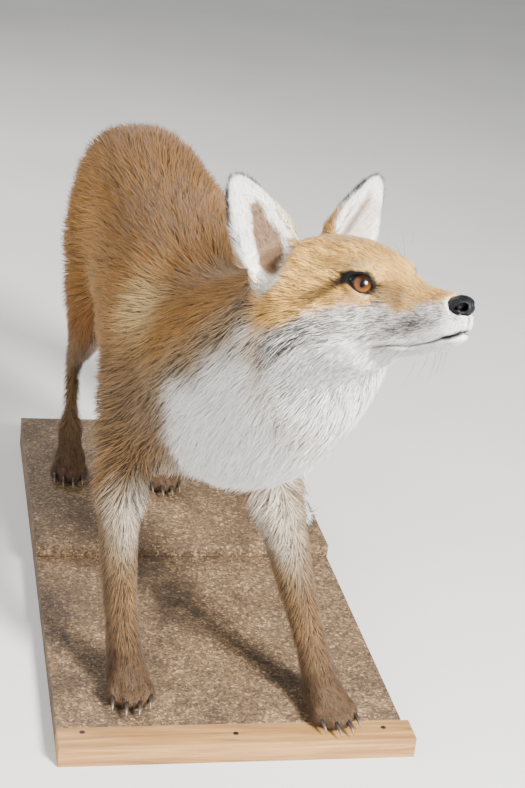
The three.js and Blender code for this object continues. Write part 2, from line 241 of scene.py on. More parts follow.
level_right = Vector((math.cos(CAMERA_HEADING), math.sin(CAMERA_HEADING), 0))
forward = Vector((
    -math.sin(CAMERA_HEADING) * math.cos(CAMERA_PITCH),
    math.cos(CAMERA_HEADING) * math.cos(CAMERA_PITCH),
    -math.sin(CAMERA_PITCH)))
level_up = level_right.cross(forward)
view_right = math.cos(CAMERA_ROLL) * level_right + math.sin(CAMERA_ROLL) * level_up
view_up = math.cos(CAMERA_ROLL) * level_up - math.sin(CAMERA_ROLL) * level_right


def facing_matrix(place, right, up, back):
    matrix = Matrix((right, up, back)).transposed().to_4x4()
    matrix.translation = place
    return matrix


bpy.ops.object.camera_add()
camera = bpy.context.object
camera.matrix_world = facing_matrix(CAMERA_PLACE, view_right, view_up, -forward)
camera.data.lens = FOCAL_LENGTH
bpy.context.scene.camera = camera
print("lens", round(camera.data.lens, 1), "mm")

# %% [markdown]
# A mounted animal looks best in one large soft key light, which models the face, with a weak fill from
# the other side so that the coat's shadows stay readable. The floor is plain and pale.

# %% Floor and lights
def area_light(title, place, target, size, power):
    bpy.ops.object.light_add(type="AREA")
    light = bpy.context.object
    light.name = title
    light.data.shape = "DISK"
    light.data.size = size
    light.data.energy = power
    aim = (Vector(target) - Vector(place)).to_track_quat("-Z", "Y")
    light.matrix_world = Matrix.Translation(place) @ aim.to_matrix().to_4x4()
    return light


HEAD_TARGET = (0.03, -0.36, 0.38)
BODY_TARGET = (-0.02, 0.0, 0.25)
FLOOR_SIZE = 12
MOTTLE_SIZE = 1 / 3
area_light("key_light", (0.62, -1.55, 1.25), HEAD_TARGET, 0.5, 175)
area_light("fill_light", (-2.2, -1.3, 1.6), BODY_TARGET, 4.2, 100)
area_light("back_light", (-0.5, 1.5, 1.5), BODY_TARGET, 1.2, 22)

world = bpy.data.worlds.new("studio")
world.use_nodes = True
world.node_tree.nodes["Background"].inputs["Color"].default_value = (*linear("DDDFE2"), 1)
world.node_tree.nodes["Background"].inputs["Strength"].default_value = 0.62
bpy.context.scene.world = world

bpy.ops.mesh.primitive_plane_add(size=FLOOR_SIZE)
floor = bpy.context.object
floor.name = "studio_floor"
paint, tree, shader = new_material("matt_painted_floor", 0.85)
mottle = noise(tree, MOTTLE_SIZE, detail=3.0)
set_colour(tree, shader, colour_ramp(tree, mottle.outputs["Fac"], [(0.3, "CFCDC9"), (0.7, "D6D4D0")]))
floor.data.materials.append(paint)
print("stage ready")

# %% [markdown]
# ## The bare skin
# The solids show where the tips of the coat reach, so the skin has to lie deeper, by the depth of the
# coat at each place. The head is turned and tilted, so places on it are given in millimetres from a
# point midway between the eyes, along the head's own axes.

# %% Places on the head
HEAD_PLACE = Vector((34, -367, 430)) * MM
HEAD_TURN = (
    Matrix.Rotation(math.radians(38.5), 4, "Z")
    @ Matrix.Rotation(math.radians(-22), 4, "X")
    @ Matrix.Rotation(math.radians(7), 4, "Y"))
HEAD_AXES = np.array(HEAD_TURN.to_3x3())
SIDES = {"right": -1, "left": 1}


def on_head(points):
    """World places in metres, as (n, 3) millimetres from a point midway between the eyes."""
    return (np.asarray(points) - np.array(HEAD_PLACE)) @ HEAD_AXES / MM


def from_head(points):
    """The way back: millimetres on the head to world metres."""
    return np.asarray(points, float) * MM @ HEAD_AXES.T + np.array(HEAD_PLACE)


def head_direction(vectors):
    return np.asarray(vectors, float) @ HEAD_AXES.T


def mirrored(h):
    """Places on the head, all moved to its left side."""
    return np.stack([np.abs(h[:, 0]), h[:, 1], h[:, 2]], axis=1)


def unit(vectors):
    return vectors / np.maximum(np.linalg.norm(vectors, axis=-1, keepdims=True), 1e-9)


def smooth_step(value, low, high):
    share = np.clip((value - low) / (high - low), 0, 1)
    return share * share * (3 - 2 * share)


def coordinates_of(mesh, name="co"):
    values = np.empty(len(mesh.vertices) * 3, np.float32)
    mesh.vertices.foreach_get(name, values)
    return values.reshape(-1, 3).astype(float)


def set_coordinates(mesh, places):
    mesh.vertices.foreach_set("co", np.ascontiguousarray(places, np.float32).ravel())
    mesh.update()


print("head at", [round(v, 3) for v in HEAD_PLACE])

# %% [markdown]
# The solids of flesh go by name. Each eye has a middle, and each ear has axes of its own: the way up
# from its foot to its tip, and the way that its open side faces.

# %% Names and places of the solids of flesh
LEGS = [f"{side}_{end}" for side in SIDES for end in ("foreleg", "hindleg")]
PAWS = [f"{side}_{end}" for side in SIDES for end in ("forepaw", "hindpaw")]
TAIL = ["tail_root", "tail_middle", "tail_tip"]
EARS = ["right_ear", "left_ear"]
FLESH = ["head", "lower_jaw", "neck", "trunk"] + LEGS + PAWS + TAIL + EARS
EYE_RADIUS = 9.4  # millimetres
EYE_PLACES = {side: (sum(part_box(f"{side}_eye"), Vector()) / 2) for side in SIDES}
EAR_ENDS = {  # foot and tip on the head, and the way that the open side faces
    "right": ((-29, 60, 17), (-56, 65, 78), (-0.4, -0.9, -0.05)),
    "left": ((29, 54, 18), (73, 47, 73), (0.12, -1, 0))}
EAR_FOOT = {side: Vector(from_head([ends[0]])[0]) for side, ends in EAR_ENDS.items()}
EAR_TIP = {side: Vector(from_head([ends[1]])[0]) for side, ends in EAR_ENDS.items()}
EAR_UP = {side: (EAR_TIP[side] - EAR_FOOT[side]).normalized() for side in SIDES}
EAR_FACING = {side: Vector(head_direction([ends[2]])[0]).normalized() for side, ends in EAR_ENDS.items()}
EAR_MOUTH = 8 * MM  # from the foot of an ear to the middle of its opening


def ear_matrix(side):
    """The ear's own axes at its foot: across, back and up."""
    up, facing = EAR_UP[side], EAR_FACING[side]
    across = facing.cross(up).normalized()
    return facing_matrix(EAR_FOOT[side], across, across.cross(up) * -1, up)


def on_ear(side, points):
    """World places as millimetres across, back and up from the foot of an ear."""
    return (points - np.array(EAR_FOOT[side])) @ np.array(ear_matrix(side).to_3x3()) / MM


def up_ear(side, points):
    """How far up an ear points lie, in millimetres from its foot."""
    return (points - np.array(EAR_FOOT[side])) @ np.array(EAR_UP[side]) / MM


def from_ear(side, points, offset):
    """Distance in millimetres from a place near the foot of an ear."""
    return np.linalg.norm(points - np.array(EAR_FOOT[side] + offset), axis=1) / MM


print("parts of flesh:", len(FLESH))

# %% [markdown]
# The solids of flesh are copied, merged into one, and rebuilt by a voxel remesh, which closes the thin
# cuts between them. Balls in the eye sockets and stubs in the seats of the ears keep them from tearing.
# The body is then thinned out, because its coat hides it.

# %% Copies of the solids of flesh
VOXEL = 2.7 * MM
EAR_VOXEL = 1.1 * MM
GROWTH = 0.3 * MM  # the copies swell by this much, so that they overlap across the cuts
WELD = 0.02 * MM
STUB_HEIGHT = 6 * MM
HEAD_BACK, HEAD_BOTTOM, HEAD_SIDE = 55, -55, 75  # millimetres on the head
BODY_SHARE = 0.5  # of the body's faces that are kept
BALL_SHARE = 0.97  # size of the ball that fills a socket, beside the eye's


def merged_copy(title, names, extra=()):
    """One object with its own mesh, made of copies of some solids, with doubled points merged."""
    copies = list(extra)
    for name in names:
        copy = nodes[name].copy()
        copy.data = nodes[name].data.copy()
        copy.parent = None
        bpy.context.scene.collection.objects.link(copy)
        copies.append(copy)
    piece = joined(title, copies)
    piece.data.materials.clear()
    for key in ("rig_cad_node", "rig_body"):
        if key in piece:
            del piece[key]
    bpy.ops.object.mode_set(mode="EDIT")
    bpy.ops.mesh.select_all(action="SELECT")
    bpy.ops.mesh.remove_doubles(threshold=WELD)
    bpy.ops.object.mode_set(mode="OBJECT")
    return piece


def filler(place, reach):
    """A ball that fills a hollow of the head before the remesh."""
    bpy.ops.mesh.primitive_uv_sphere_add(segments=24, ring_count=16, radius=1)
    ball = bpy.context.object
    ball.data.transform(Matrix.Translation(place) @ HEAD_TURN @ Matrix.Diagonal((*reach, 1)))
    return ball


def ear_stub(side, height):
    """The foot of an ear, cut off at a height above its lowest point, which fills the ear's seat."""
    stub = merged_copy(f"{side}_ear_stub", [f"{side}_ear"])
    activate(stub)
    bpy.ops.object.mode_set(mode="EDIT")
    bpy.ops.mesh.select_all(action="SELECT")
    bpy.ops.mesh.bisect(plane_co=EAR_FOOT[side] + EAR_UP[side] * height, plane_no=EAR_UP[side],
                        use_fill=True, clear_outer=True)
    bpy.ops.object.mode_set(mode="OBJECT")
    return stub


fillers = [filler(EYE_PLACES[side], [EYE_RADIUS * MM * BALL_SHARE] * 3) for side in SIDES]
fillers += [ear_stub(side, STUB_HEIGHT) for side in SIDES]
skin = merged_copy("skin", [n for n in FLESH if n not in EARS], fillers)
apply_modifier(skin, "DISPLACE", strength=GROWTH, mid_level=0)
apply_modifier(skin, "REMESH", mode="VOXEL", voxel_size=VOXEL)
apply_modifier(skin, "SMOOTH", factor=0.5, iterations=3)
print("skin after the remesh:", len(skin.data.vertices), "points")


def is_head(points):
    h = on_head(points)
    return (h[:, 1] < HEAD_BACK) & (h[:, 2] > HEAD_BOTTOM) & (np.abs(h[:, 0]) < HEAD_SIDE)


body = skin.vertex_groups.new(name="body")
body.add(np.flatnonzero(~is_head(coordinates_of(skin.data))).tolist(), 1.0, "REPLACE")
apply_modifier(skin, "DECIMATE", ratio=BODY_SHARE, vertex_group="body")
skin.vertex_groups.clear()
print("skin with a coarser body:", len(skin.data.vertices), "points")

# %% [markdown]
# The head carries lids, lips and fine short hair, so its mesh is divided once more. Faces are picked in
# code by their place, which is what a box selection does by hand. The ears are thin shells of gristle,
# which a coarse remesh would eat, so they are remade on their own, finer, and joined on by a boolean.

# %% A finer head, and the ears
LID_REACH = 14  # millimetres round the middle of the eye
LIPS = (-47, -30)  # bottom and top on the head
SHELL_SIZE = (0.92, 1, 0.965, 1)  # of the ear's solid: across, through and along


def divide_where(piece, chosen):
    """Subdivides the faces whose centres pass the test."""
    activate(piece)
    bpy.ops.object.mode_set(mode="EDIT")
    bpy.ops.mesh.select_mode(type="FACE")
    bpy.ops.mesh.select_all(action="DESELECT")
    bpy.ops.object.mode_set(mode="OBJECT")
    centres = np.empty(len(piece.data.polygons) * 3, np.float32)
    piece.data.polygons.foreach_get("center", centres)
    piece.data.polygons.foreach_set("select", chosen(centres.reshape(-1, 3).astype(float)))
    bpy.ops.object.mode_set(mode="EDIT")
    bpy.ops.mesh.subdivide(number_cuts=1, smoothness=0)
    bpy.ops.object.mode_set(mode="OBJECT")


def is_lid_or_lip(points):
    h = mirrored(on_head(points))
    near_eye = np.linalg.norm(h - (27, -4, 1), axis=1) < LID_REACH
    lips = (h[:, 1] < 0) & (h[:, 2] < LIPS[1]) & (h[:, 2] > LIPS[0])
    return is_head(points) & (near_eye | lips)


def ear_shell(side):
    """The gristle of one ear: the solid remade finely, a little smaller than the coat's outline."""
    shell = merged_copy(f"{side}_ear_shell", [f"{side}_ear"])
    apply_modifier(shell, "REMESH", mode="VOXEL", voxel_size=EAR_VOXEL)
    apply_modifier(shell, "SMOOTH", factor=0.5, iterations=5)
    local = ear_matrix(side)
    shell.data.transform(local @ Matrix.Diagonal(SHELL_SIZE) @ local.inverted())
    return shell


divide_where(skin, is_head)
apply_modifier(skin, "SMOOTH", factor=0.5, iterations=2)
divide_where(skin, is_lid_or_lip)
for side in SIDES:
    shell = ear_shell(side)
    apply_modifier(skin, "BOOLEAN", operation="UNION", object=shell, solver="EXACT")
    bpy.data.objects.remove(shell)
apply_modifier(skin, "TRIANGULATE")
print("skin with ears:", len(skin.data.vertices), "points", len(skin.data.polygons), "triangles")

# %% [markdown]
# Every point of the skin should know which part of the fox it belongs to: coat depth, coat length, lie
# and colour all follow from that. The nearest solid gives the answer, and averaging each value with its
# neighbours' turns hard borders into the gradual changes of a real coat.

# %% Which part each point belongs to
def solid_tree(names):
    points, faces, owner = [], [], []
    for index, name in enumerate(names):
        mesh = nodes[name].data
        start = len(points)
        points.extend(vertex.co.copy() for vertex in mesh.vertices)
        for polygon in mesh.polygons:
            faces.append([start + k for k in polygon.vertices])
            owner.append(index)
    return BVHTree.FromPolygons(points, faces), np.array(owner)


def owners_of(points, names):
    tree_of_solids, owner = solid_tree(names)
    return np.array([owner[tree_of_solids.find_nearest(Vector(p))[2]] for p in points])


class Web:
    """The edges of a mesh, used to average values between neighbours."""

    def __init__(self, mesh):
        ends = np.empty(len(mesh.edges) * 2, np.int32)
        mesh.edges.foreach_get("vertices", ends)
        self.ends = ends.reshape(-1, 2)
        self.size = len(mesh.vertices)
        self.count = np.bincount(ends, minlength=self.size).astype(float)

    def smooth(self, values, rounds, keep=0.35):
        values = np.asarray(values, float)
        flat = values.reshape(self.size, -1).copy()
        for _ in range(rounds):
            total = np.empty_like(flat)
            for column in range(flat.shape[1]):
                total[:, column] = (
                    np.bincount(self.ends[:, 0], flat[self.ends[:, 1], column], self.size)
                    + np.bincount(self.ends[:, 1], flat[self.ends[:, 0], column], self.size))
            flat = keep * flat + (1 - keep) * total / np.maximum(self.count, 1)[:, None]
        return flat.reshape(values.shape)


def members(*names):
    """True at the points that belong to any of these parts."""
    return np.isin(part, [FLESH.index(name) for name in names])


SHELL_START = 9  # millimetres above the foot of the ear
places = coordinates_of(skin.data)
part = owners_of(places, FLESH)
web = Web(skin.data)
for side in SIDES:  # the foot of an ear belongs to the head up to where the shell comes out of it
    part[members(f"{side}_ear") & (up_ear(side, places) < SHELL_START)] = FLESH.index("head")
print("points on the head:", int(members("head").sum()), "on the ears:", int(members(*EARS).sum()))

# %% [markdown]
# The depth of the coat: about 1 mm on the muzzle and 2 mm on the feet, 15 mm on neck and back, and up to
# 25 mm on the tail. The skin sinks by that depth in small steps, with its normals smoothed each time, so
# that it doesn't fold over itself. The places before sinking are kept, because the markings are drawn
# where the tips of the coat reach.

# %% Sinking the skin below the coat
DEPTH = {  # millimetres
    "neck": 15, "trunk": 16, "foreleg": 4.5, "hindleg": 7, "forepaw": 2.0, "hindpaw": 2.0,
    "tail_root": 16, "tail_middle": 25, "tail_tip": 20, "ear": 0.55}
DEPTH_BACK = [-60, -30, -12, 10, 30, 60]  # millimetres behind the eyes,
HEAD_DEPTH = [0.9, 1.2, 1.6, 3.2, 5.0, 7.0]  # and the depth of the coat there
EAR_THINNING = 0.72
SINK_STEPS = 8


def by_part(table):
    values = np.array([table.get(n, table.get(n.split("_")[-1], 0)) for n in FLESH], float)
    return values[part]


def head_depth(h):
    """Coat depth in millimetres on the head, from places on the head."""
    depth = np.interp(h[:, 1], DEPTH_BACK, HEAD_DEPTH)
    depth += 5 * smooth_step(h[:, 1], 0, 35) * smooth_step(-h[:, 2], 0, 30)
    near_eye = np.linalg.norm(np.abs(h) - (28, 5, 4), axis=1)
    return depth * (0.3 + 0.7 * smooth_step(near_eye, 9, 22))


h = on_head(places)
outer = places.copy()  # where the tips of the coat reach: markings are placed here
on_ears = members(*EARS)
on_face = members("head", "lower_jaw") & (h[:, 1] < 30)
depth = by_part(DEPTH)
of_head = members("head", "lower_jaw")
depth[of_head] = head_depth(h[of_head])
depth = web.smooth(depth, 25)
depth[on_face] = head_depth(h[on_face])
depth[on_ears] = DEPTH["ear"]
ear_front = np.zeros(len(places))
for side in SIDES:  # the coat is thin round the foot of each ear, so that its opening stays clear
    away = from_ear(side, places, EAR_FACING[side] * EAR_MOUTH)
    ear_front = np.maximum(ear_front, smooth_step(-away, -30, -16) * ~on_ears)
depth *= 1 - EAR_THINNING * ear_front
depth = web.smooth(depth, 3) + GROWTH / MM

deep = smooth_step(depth, 5, 12)[:, None]
for _ in range(SINK_STEPS):
    normals = unit(web.smooth(coordinates_of(skin.data, "normal"), 4))
    normals[on_ears] = coordinates_of(skin.data, "normal")[on_ears]
    places = places - normals * (depth * MM / SINK_STEPS)[:, None]
    places = places * (1 - deep) + web.smooth(places, 5, 0.4) * deep
    set_coordinates(skin.data, places)
at_ear_foot = np.zeros(len(places))
for side in SIDES:
    from_foot = from_ear(side, places, EAR_UP[side] * EAR_MOUTH)
    at_ear_foot = np.maximum(at_ear_foot, smooth_step(-from_foot, -30, -20) * ~on_ears)
places += (web.smooth(places, 12, 0.3) - places) * at_ear_foot[:, None]
set_coordinates(skin.data, places)
print("deepest coat", round(depth.max(), 1), "mm")

# %% [markdown]
# ## Modelling the head
# The near ear is the first thing that a visitor sees from the side: a shell with white hair along its
# edges round a bare brown patch of skin. Its shape is drawn as it appears in the camera's view, and the
# outlines are laid on the skin along the lines of sight. The foot of the opening is pressed in a little,
# and the crease between shell and head is smoothed, as a taxidermist models it with clay.

# %% Opening of the near ear
EAR_OPENING = [
    (229, 180), (232, 200), (238, 225), (242, 250), (247, 271), (256, 288), (265, 293), (274, 288),
    (281, 278), (286, 264), (289, 250), (295, 236), (285, 215), (265, 190), (240, 172)]
BARE_PATCH = [
    (249, 204), (251, 218), (252, 235), (256, 253), (260, 265), (265, 277), (272, 274), (279, 275),
    (284, 260), (286, 247), (282, 235), (275, 227), (268, 218), (265, 208), (258, 199)]
GOLDEN_RIM = [(243, 173), (262, 186), (277, 205), (286, 217), (297, 237)]
EAR_CORNER = (254, 276)
OUTLINE_SOFTNESS = 4.6  # these are all pixels of the view
EAR_SPAN = 85  # millimetres from the foot of the ear
NEAR_SIDE = -0.45  # least share of a normal along the ear's facing
HOLLOW = 2.0 * MM


def distance_to_line(points, line):
    """Distance from each point to a line through a few places."""
    best = np.full(len(points), np.inf)
    for start, end in zip(np.array(line[:-1], float), np.array(line[1:], float)):
        along = end - start
        share = np.clip((points - start) @ along / (along @ along), 0, 1)
        best = np.minimum(best, np.linalg.norm(points - start - share[:, None] * along, axis=1))
    return best


def closeness(points, line, width):
    """1 on a line through a few places, falling softly to 0 over a width."""
    return np.exp(-(distance_to_line(points, line) / width) ** 2)


def seen_at(points):
    """Where points appear in the camera's view, in pixels from its top left corner."""
    offset = np.asarray(points) - np.array(CAMERA_PLACE)
    distance = offset @ np.array(forward)
    return np.stack([
        VIEW_WIDTH / 2 + FOCAL_PIXELS * (offset @ np.array(view_right)) / distance,
        VIEW_HEIGHT / 2 - FOCAL_PIXELS * (offset @ np.array(view_up)) / distance], axis=1)


def inside_outline(spots, outline):
    """How far spots lie inside a closed outline; outside it the distance is negative."""
    inside = np.zeros(len(spots), bool)
    for (x0, y0), (x1, y1) in zip(outline, outline[1:] + outline[:1]):
        crosses = (y0 > spots[:, 1]) != (y1 > spots[:, 1])
        inside ^= crosses & (spots[:, 0] < x0 + (spots[:, 1] - y0) * (x1 - x0) / (y1 - y0))
    away = distance_to_line(spots, outline + outline[:1])
    return np.where(inside, away, -away)


def in_right_ear(outline):
    """Share of an outline, on the near side of the right ear and of the head in front of it."""
    near = from_ear("right", places, Vector()) < EAR_SPAN
    seen = normals @ np.array(EAR_FACING["right"]) > NEAR_SIDE
    mine = of_head | members("right_ear")
    within = inside_outline(seen_at(places), outline)
    return smooth_step(within, -OUTLINE_SOFTNESS / 2, OUTLINE_SOFTNESS / 2) * near * seen * mine


ear_opening = in_right_ear(EAR_OPENING)
ear_bare = in_right_ear(BARE_PATCH)
hollow = web.smooth(ear_opening * ~on_ears, 4)
places -= normals * (HOLLOW * hollow * ~on_ears)[:, None]
for side in SIDES:  # the shell runs into the head without a sharp crease
    from_foot = from_ear(side, places, EAR_UP[side] * EAR_MOUTH)
    crease = smooth_step(32 - from_foot, 0, 8)
    crease *= np.where(on_ears, smooth_step(22 - up_ear(side, places), 0, 8), 1)
    places += (web.smooth(places, 10, 0.3) - places) * crease[:, None]
set_coordinates(skin.data, places)
print("ear opening over", int((ear_opening > 0.5).sum()), "points")

# %% [markdown]
# The mouth is a fine groove between the lips, with the edge of the dark lip skin in it. It is pressed
# into the skin along a line of a few places, as one would draw with a sculpting brush, and a shallower
# one runs from the nose down to it. The upper lip swells slightly over the lower one, and a soft hollow
# runs back from the eye. The places of a line are millimetres on the head's left side.

# %% Lip line and groove below the nose
MOUTH_LINE = [(0, -63.2, -36.5), (6, -60.5, -36.6), (10.4, -54, -37.4), (12.2, -42.6, -40.2),
              (14, -28, -41.5), (17.6, -17, -40.2), (20.8, -4, -41.3)]
LIP_GROOVE = [(0, -66.5, -27), (0, -64.5, -36)]
TEAR_LINE = [(26.5, -12.8, -3.0), (24.4, -14.4, -4.0), (22.8, -16.6, -6.2)]
EYE_STREAK = [(29.6, -0.5, 5.4), (33.8, 5.4, 4.2), (37.7, 10.7, 1.8), (41.6, 16.1, -2.0), (46, 24.2, -5.6)]


def press(line, width, depth):
    """Pushes the skin in along a line of places on the head, by a depth in millimetres."""
    global places
    push = depth * MM * closeness(mirrored(on_head(outer)), line, width) * (of_head & ~on_ears)
    places = places - coordinates_of(skin.data, "normal") * push[:, None]
    set_coordinates(skin.data, places)


def lift_above(line, offset, width, height):
    """Swells the skin along a line moved by an offset."""
    press([tuple(np.add(place, offset)) for place in line], width, -height)


press(MOUTH_LINE, 1.6, 2.4)
press(MOUTH_LINE[1:3], 1.6, 1.2)
lift_above(MOUTH_LINE[2:], (1, 0, 3.6), 3.0, 1.0)
lift_above(MOUTH_LINE[1:-1], (0, 0, -3.2), 2.4, 0.7)
press(LIP_GROOVE, 1.0, 0.9)
press(EYE_STREAK[:3], 2.2, 0.7)
print("lip line pressed in")

# %% [markdown]
# ## Eyes
# A taxidermist's glass eye is a painted iris behind a clear dome. The ball sits deep in its socket, and
# the dark rims of the lids hug it. First the skin is pressed below the ball inside the opening, and held
# just under the lids around it.

# %% Openings for the eyes
GAZE = {side: Vector(head_direction([(sign * 0.70, -0.70, 0.06)])[0]).normalized()
        for side, sign in SIDES.items()}
SLIT = {side: Vector(head_direction([(sign * 0.32, 0.86, 0.50)])[0]) for side, sign in SIDES.items()}
OPENING_LENGTH = 21.0  # millimetres, from the tear duct to the back corner
OPENING_HEIGHT = 11.4
OPENING_POWER = 1.6  # below 2 the ends of the opening are pointed
LID_STEPS = 64
SOCKET_REACH = [0.1, 0.7, 1.4, 2.4, 5, 10, 15]  # millimetres beyond the opening,
SOCKET_RADIUS = [8.2, 9.9, 10.7, 10.9, 11.4, 13.6, 17]  # and how far from the eye's middle the skin lies


def eye_axes(side):
    """Unit vectors along the slit to the back corner, up across it, and out along the gaze."""
    out = GAZE[side]
    along = (SLIT[side] - out * SLIT[side].dot(out)).normalized()
    up = out.cross(along) * SIDES[side]
    return along, up, out


def opening_reach(turn):
    """How far the opening reaches from the middle, in millimetres, at an angle around the gaze."""
    along, across = np.abs(np.cos(turn)), np.abs(np.sin(turn))
    half_height = OPENING_HEIGHT / 2 * np.where(np.sin(turn) > 0, 1.0, 0.9)
    power = OPENING_POWER
    return ((along / (OPENING_LENGTH / 2)) ** power + (across / half_height) ** power) ** (-1 / power)


def beyond_opening(side, points):
    """How far points lie outside the opening, in millimetres round the ball, and their angle round it."""
    along, up, out = (np.array(axis) for axis in eye_axes(side))
    offset = (points - np.array(EYE_PLACES[side])) / MM
    radius = np.linalg.norm(offset, axis=1)
    x, y, z = offset @ along, offset @ up, offset @ out
    turn = np.arctan2(y, x)
    beyond = np.arctan2(np.hypot(x, y), z) * EYE_RADIUS - opening_reach(turn)
    return beyond, turn, radius


def open_socket(side):
    """Presses the skin below the ball inside the opening, and close to the ball around it."""
    global places
    centre = np.array(EYE_PLACES[side])
    beyond, turn, radius = beyond_opening(side, places)
    hugging = np.interp(beyond, SOCKET_REACH, SOCKET_RADIUS)
    hugging += 0.7 * np.maximum(np.sin(turn), 0) * smooth_step(beyond, 0.5, 1.5)
    share = (1 - smooth_step(beyond, 1.5, 12)) * (radius < 28) * ~on_ears
    wanted = radius * (1 - share) + hugging * share
    places = centre + (places - centre) * (wanted / radius)[:, None]
    ring = smooth_step(beyond, 1.2, 3) * smooth_step(20 - beyond, 0, 6) * (radius < 32) * ~on_ears
    places += (web.smooth(places, 6) - places) * ring[:, None]


for side in SIDES:
    open_socket(side)
set_coordinates(skin.data, places)
print("openings", OPENING_LENGTH, "by", OPENING_HEIGHT, "mm")

# %% [markdown]
# Each pair of lids is one closed ring. Its section is a rolled rim that starts on the ball, stands a
# little over it, thicker above than below, and dips back under the coat.

# %% Lids
def closed_loops(title, loops, wrap_rings=True):
    """A closed mesh from rings of equal length; wrap_rings joins the last ring to the first."""
    rings, size = len(loops), len(loops[0])
    faces = []
    for i in range(rings if wrap_rings else rings - 1):
        for j in range(size):
            a, b = i * size + j, i * size + (j + 1) % size
            c, d = (i + 1) % rings * size + (j + 1) % size, (i + 1) % rings * size + j
            faces.append((a, b, c, d))
    if not wrap_rings:
        faces.append(tuple(reversed(range(size))))
        faces.append(tuple(range((rings - 1) * size, rings * size)))
    mesh = bpy.data.meshes.new(title)
    mesh.from_pydata([tuple(p) for loop in loops for p in loop], [], faces)
    piece = new_piece(title, mesh)
    face_outward(piece)
    return piece


def eyelids(side):
    """The rolled rim of both lids: a section of seven points carried round the opening."""
    along, up, out = eye_axes(side)
    centre = EYE_PLACES[side]
    loops = []
    for step in range(LID_STEPS):
        turn = 2 * math.pi * step / LID_STEPS
        edge = opening_reach(turn)
        upper = max(math.sin(turn), 0)
        corner = abs(math.cos(turn)) ** 6
        roll = 0.55 + 0.9 * upper
        section = [(edge + 1.6, 8.9), (edge, 9.25), (edge - 0.2, 9.45 + 0.2 * roll),
                   (edge + 0.15, 9.75 + 0.55 * roll), (edge + 0.7, 9.9 + 0.75 * roll),
                   (edge + 1.5 + corner, 9.9 + 0.5 * roll), (edge + 2.4 + corner, 9.0)]
        ring = []
        for reach, radius in section:
            tilt = min(reach / EYE_RADIUS, 1.45)
            spoke = math.cos(turn) * along + math.sin(turn) * up
            ring.append(centre + (math.sin(tilt) * spoke + math.cos(tilt) * out) * radius * MM)
        loops.append(ring)
    return closed_loops(f"{side}_eyelids", loops)


lids = {side: eyelids(side) for side in SIDES}
lid_skin, tree, shader = new_material("bare_black_eyelid_skin", 0.55, Specular_IOR_Level=0.12)
pores = noise(tree, 0.5 * MM, detail=3.0)
set_colour(tree, shader, colour_ramp(tree, pores.outputs["Fac"], [(0.35, "040303"), (0.75, "0C0807")]))
set_bump(tree, shader, pores.outputs["Fac"], 0.3, 0.1 * MM)
for side, piece in lids.items():
    piece.data.materials.append(lid_skin)
    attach(piece, "root")
print("lids round both eyes")

# %% [markdown]
# The eye itself: an amber iris with fine rays, darker at its rim, and the fox's upright pupil, with painted
# shade over the top of the iris where the upper lid would shadow it. It is painted on a ball, and a clear
# glass coat gives the wet highlight. The pattern is centred on each gaze by an attribute, the direction of
# each point as seen from the ball's middle.

# %% Glass eyes
DOME = (0.72, 0.95)  # where the clear dome begins and is full, as shares of the radius along the gaze
DOME_HEIGHT = 0.5 * MM
EYE_GAP = 0.05  # millimetres that the ball is smaller than its solid
PUPIL_SHAPE = (1.5, 1.0, 0)  # narrower along the slit than across it
PUPIL_EDGE = (0.24, 0.29)  # shares of the radius
LID_SHADOW = (-0.2, 0.32)  # from the full light below to the dark under the upper lid


def eyeball(side):
    """The painted ball of one eye, with its clear dome standing a little proud."""
    bpy.ops.mesh.primitive_uv_sphere_add(segments=96, ring_count=64, radius=(EYE_RADIUS - EYE_GAP) * MM)
    ball = bpy.context.object
    ball.name = ball.data.name = f"{side}_glass_eye"
    along, up, out = eye_axes(side)
    ball.data.transform(facing_matrix(EYE_PLACES[side], along, up, out))
    places = coordinates_of(ball.data)
    offset = (places - np.array(EYE_PLACES[side])) / (EYE_RADIUS * MM)
    forward_share = offset @ np.array(out)
    bulge = smooth_step(forward_share, *DOME) * DOME_HEIGHT
    places += unit(offset) * bulge[:, None]
    set_coordinates(ball.data, places)
    values = np.stack([offset @ np.array(along), offset @ np.array(up), forward_share], axis=1)
    paint_points(ball.data, "gaze", "FLOAT_VECTOR", values)
    face_outward(ball)
    return ball


def length_of(tree, vector):
    return add_node(tree, "ShaderNodeVectorMath", {"operation": "LENGTH"}, {0: vector}).outputs["Value"]


glass, tree, shader = new_material("painted_glass_eye", 0.3, Specular_IOR_Level=0.1, Coat_Weight=0.4,
                                   Coat_Roughness=0.02, IOR=1.5)
gaze = painted(tree, "gaze").outputs["Vector"]
height = add_node(tree, "ShaderNodeSeparateXYZ", links={"Vector": gaze}).outputs["Y"]
squeezed, flat = (add_node(tree, "ShaderNodeVectorMath", {"operation": "MULTIPLY", 1: share}, {0: gaze})
                  for share in (PUPIL_SHAPE, (1, 1, 0)))
way = add_node(tree, "ShaderNodeVectorMath", {"operation": "NORMALIZE"}, {0: flat.outputs["Vector"]})
rays = add_node(tree, "ShaderNodeTexNoise", {"Scale": 9.0, "Detail": 4.0, "Roughness": 0.7},
                {"Vector": way.outputs["Vector"]})
iris = colour_ramp(tree, length_of(tree, flat.outputs["Vector"]), [
    (0.0, "1E1005"), (0.26, "4A2A0A"), (0.48, "6F4012"), (0.60, "3A1F08"), (0.70, "070403")])
ray_shade = colour_ramp(tree, rays.outputs["Fac"], [(0.3, "8F8F8F"), (0.7, "FFFFFF")])
outside_pupil = from_range(tree, length_of(tree, squeezed.outputs["Vector"]), PUPIL_EDGE, (0, 1))
# painted shade: the iris is darkened towards the top, as in the shadow of the upper lid
lid_shade = from_range(tree, height, LID_SHADOW, (1.0, 0.1))
with_pupil = mixed_colour(tree, outside_pupil, "050302",
                          mixed_colour(tree, 0.75, iris, ray_shade, "MULTIPLY"))
shaded = add_node(tree, "ShaderNodeVectorMath", {"operation": "SCALE"},
                  {0: with_pupil, "Scale": lid_shade})
set_colour(tree, shader, shaded.outputs["Vector"])

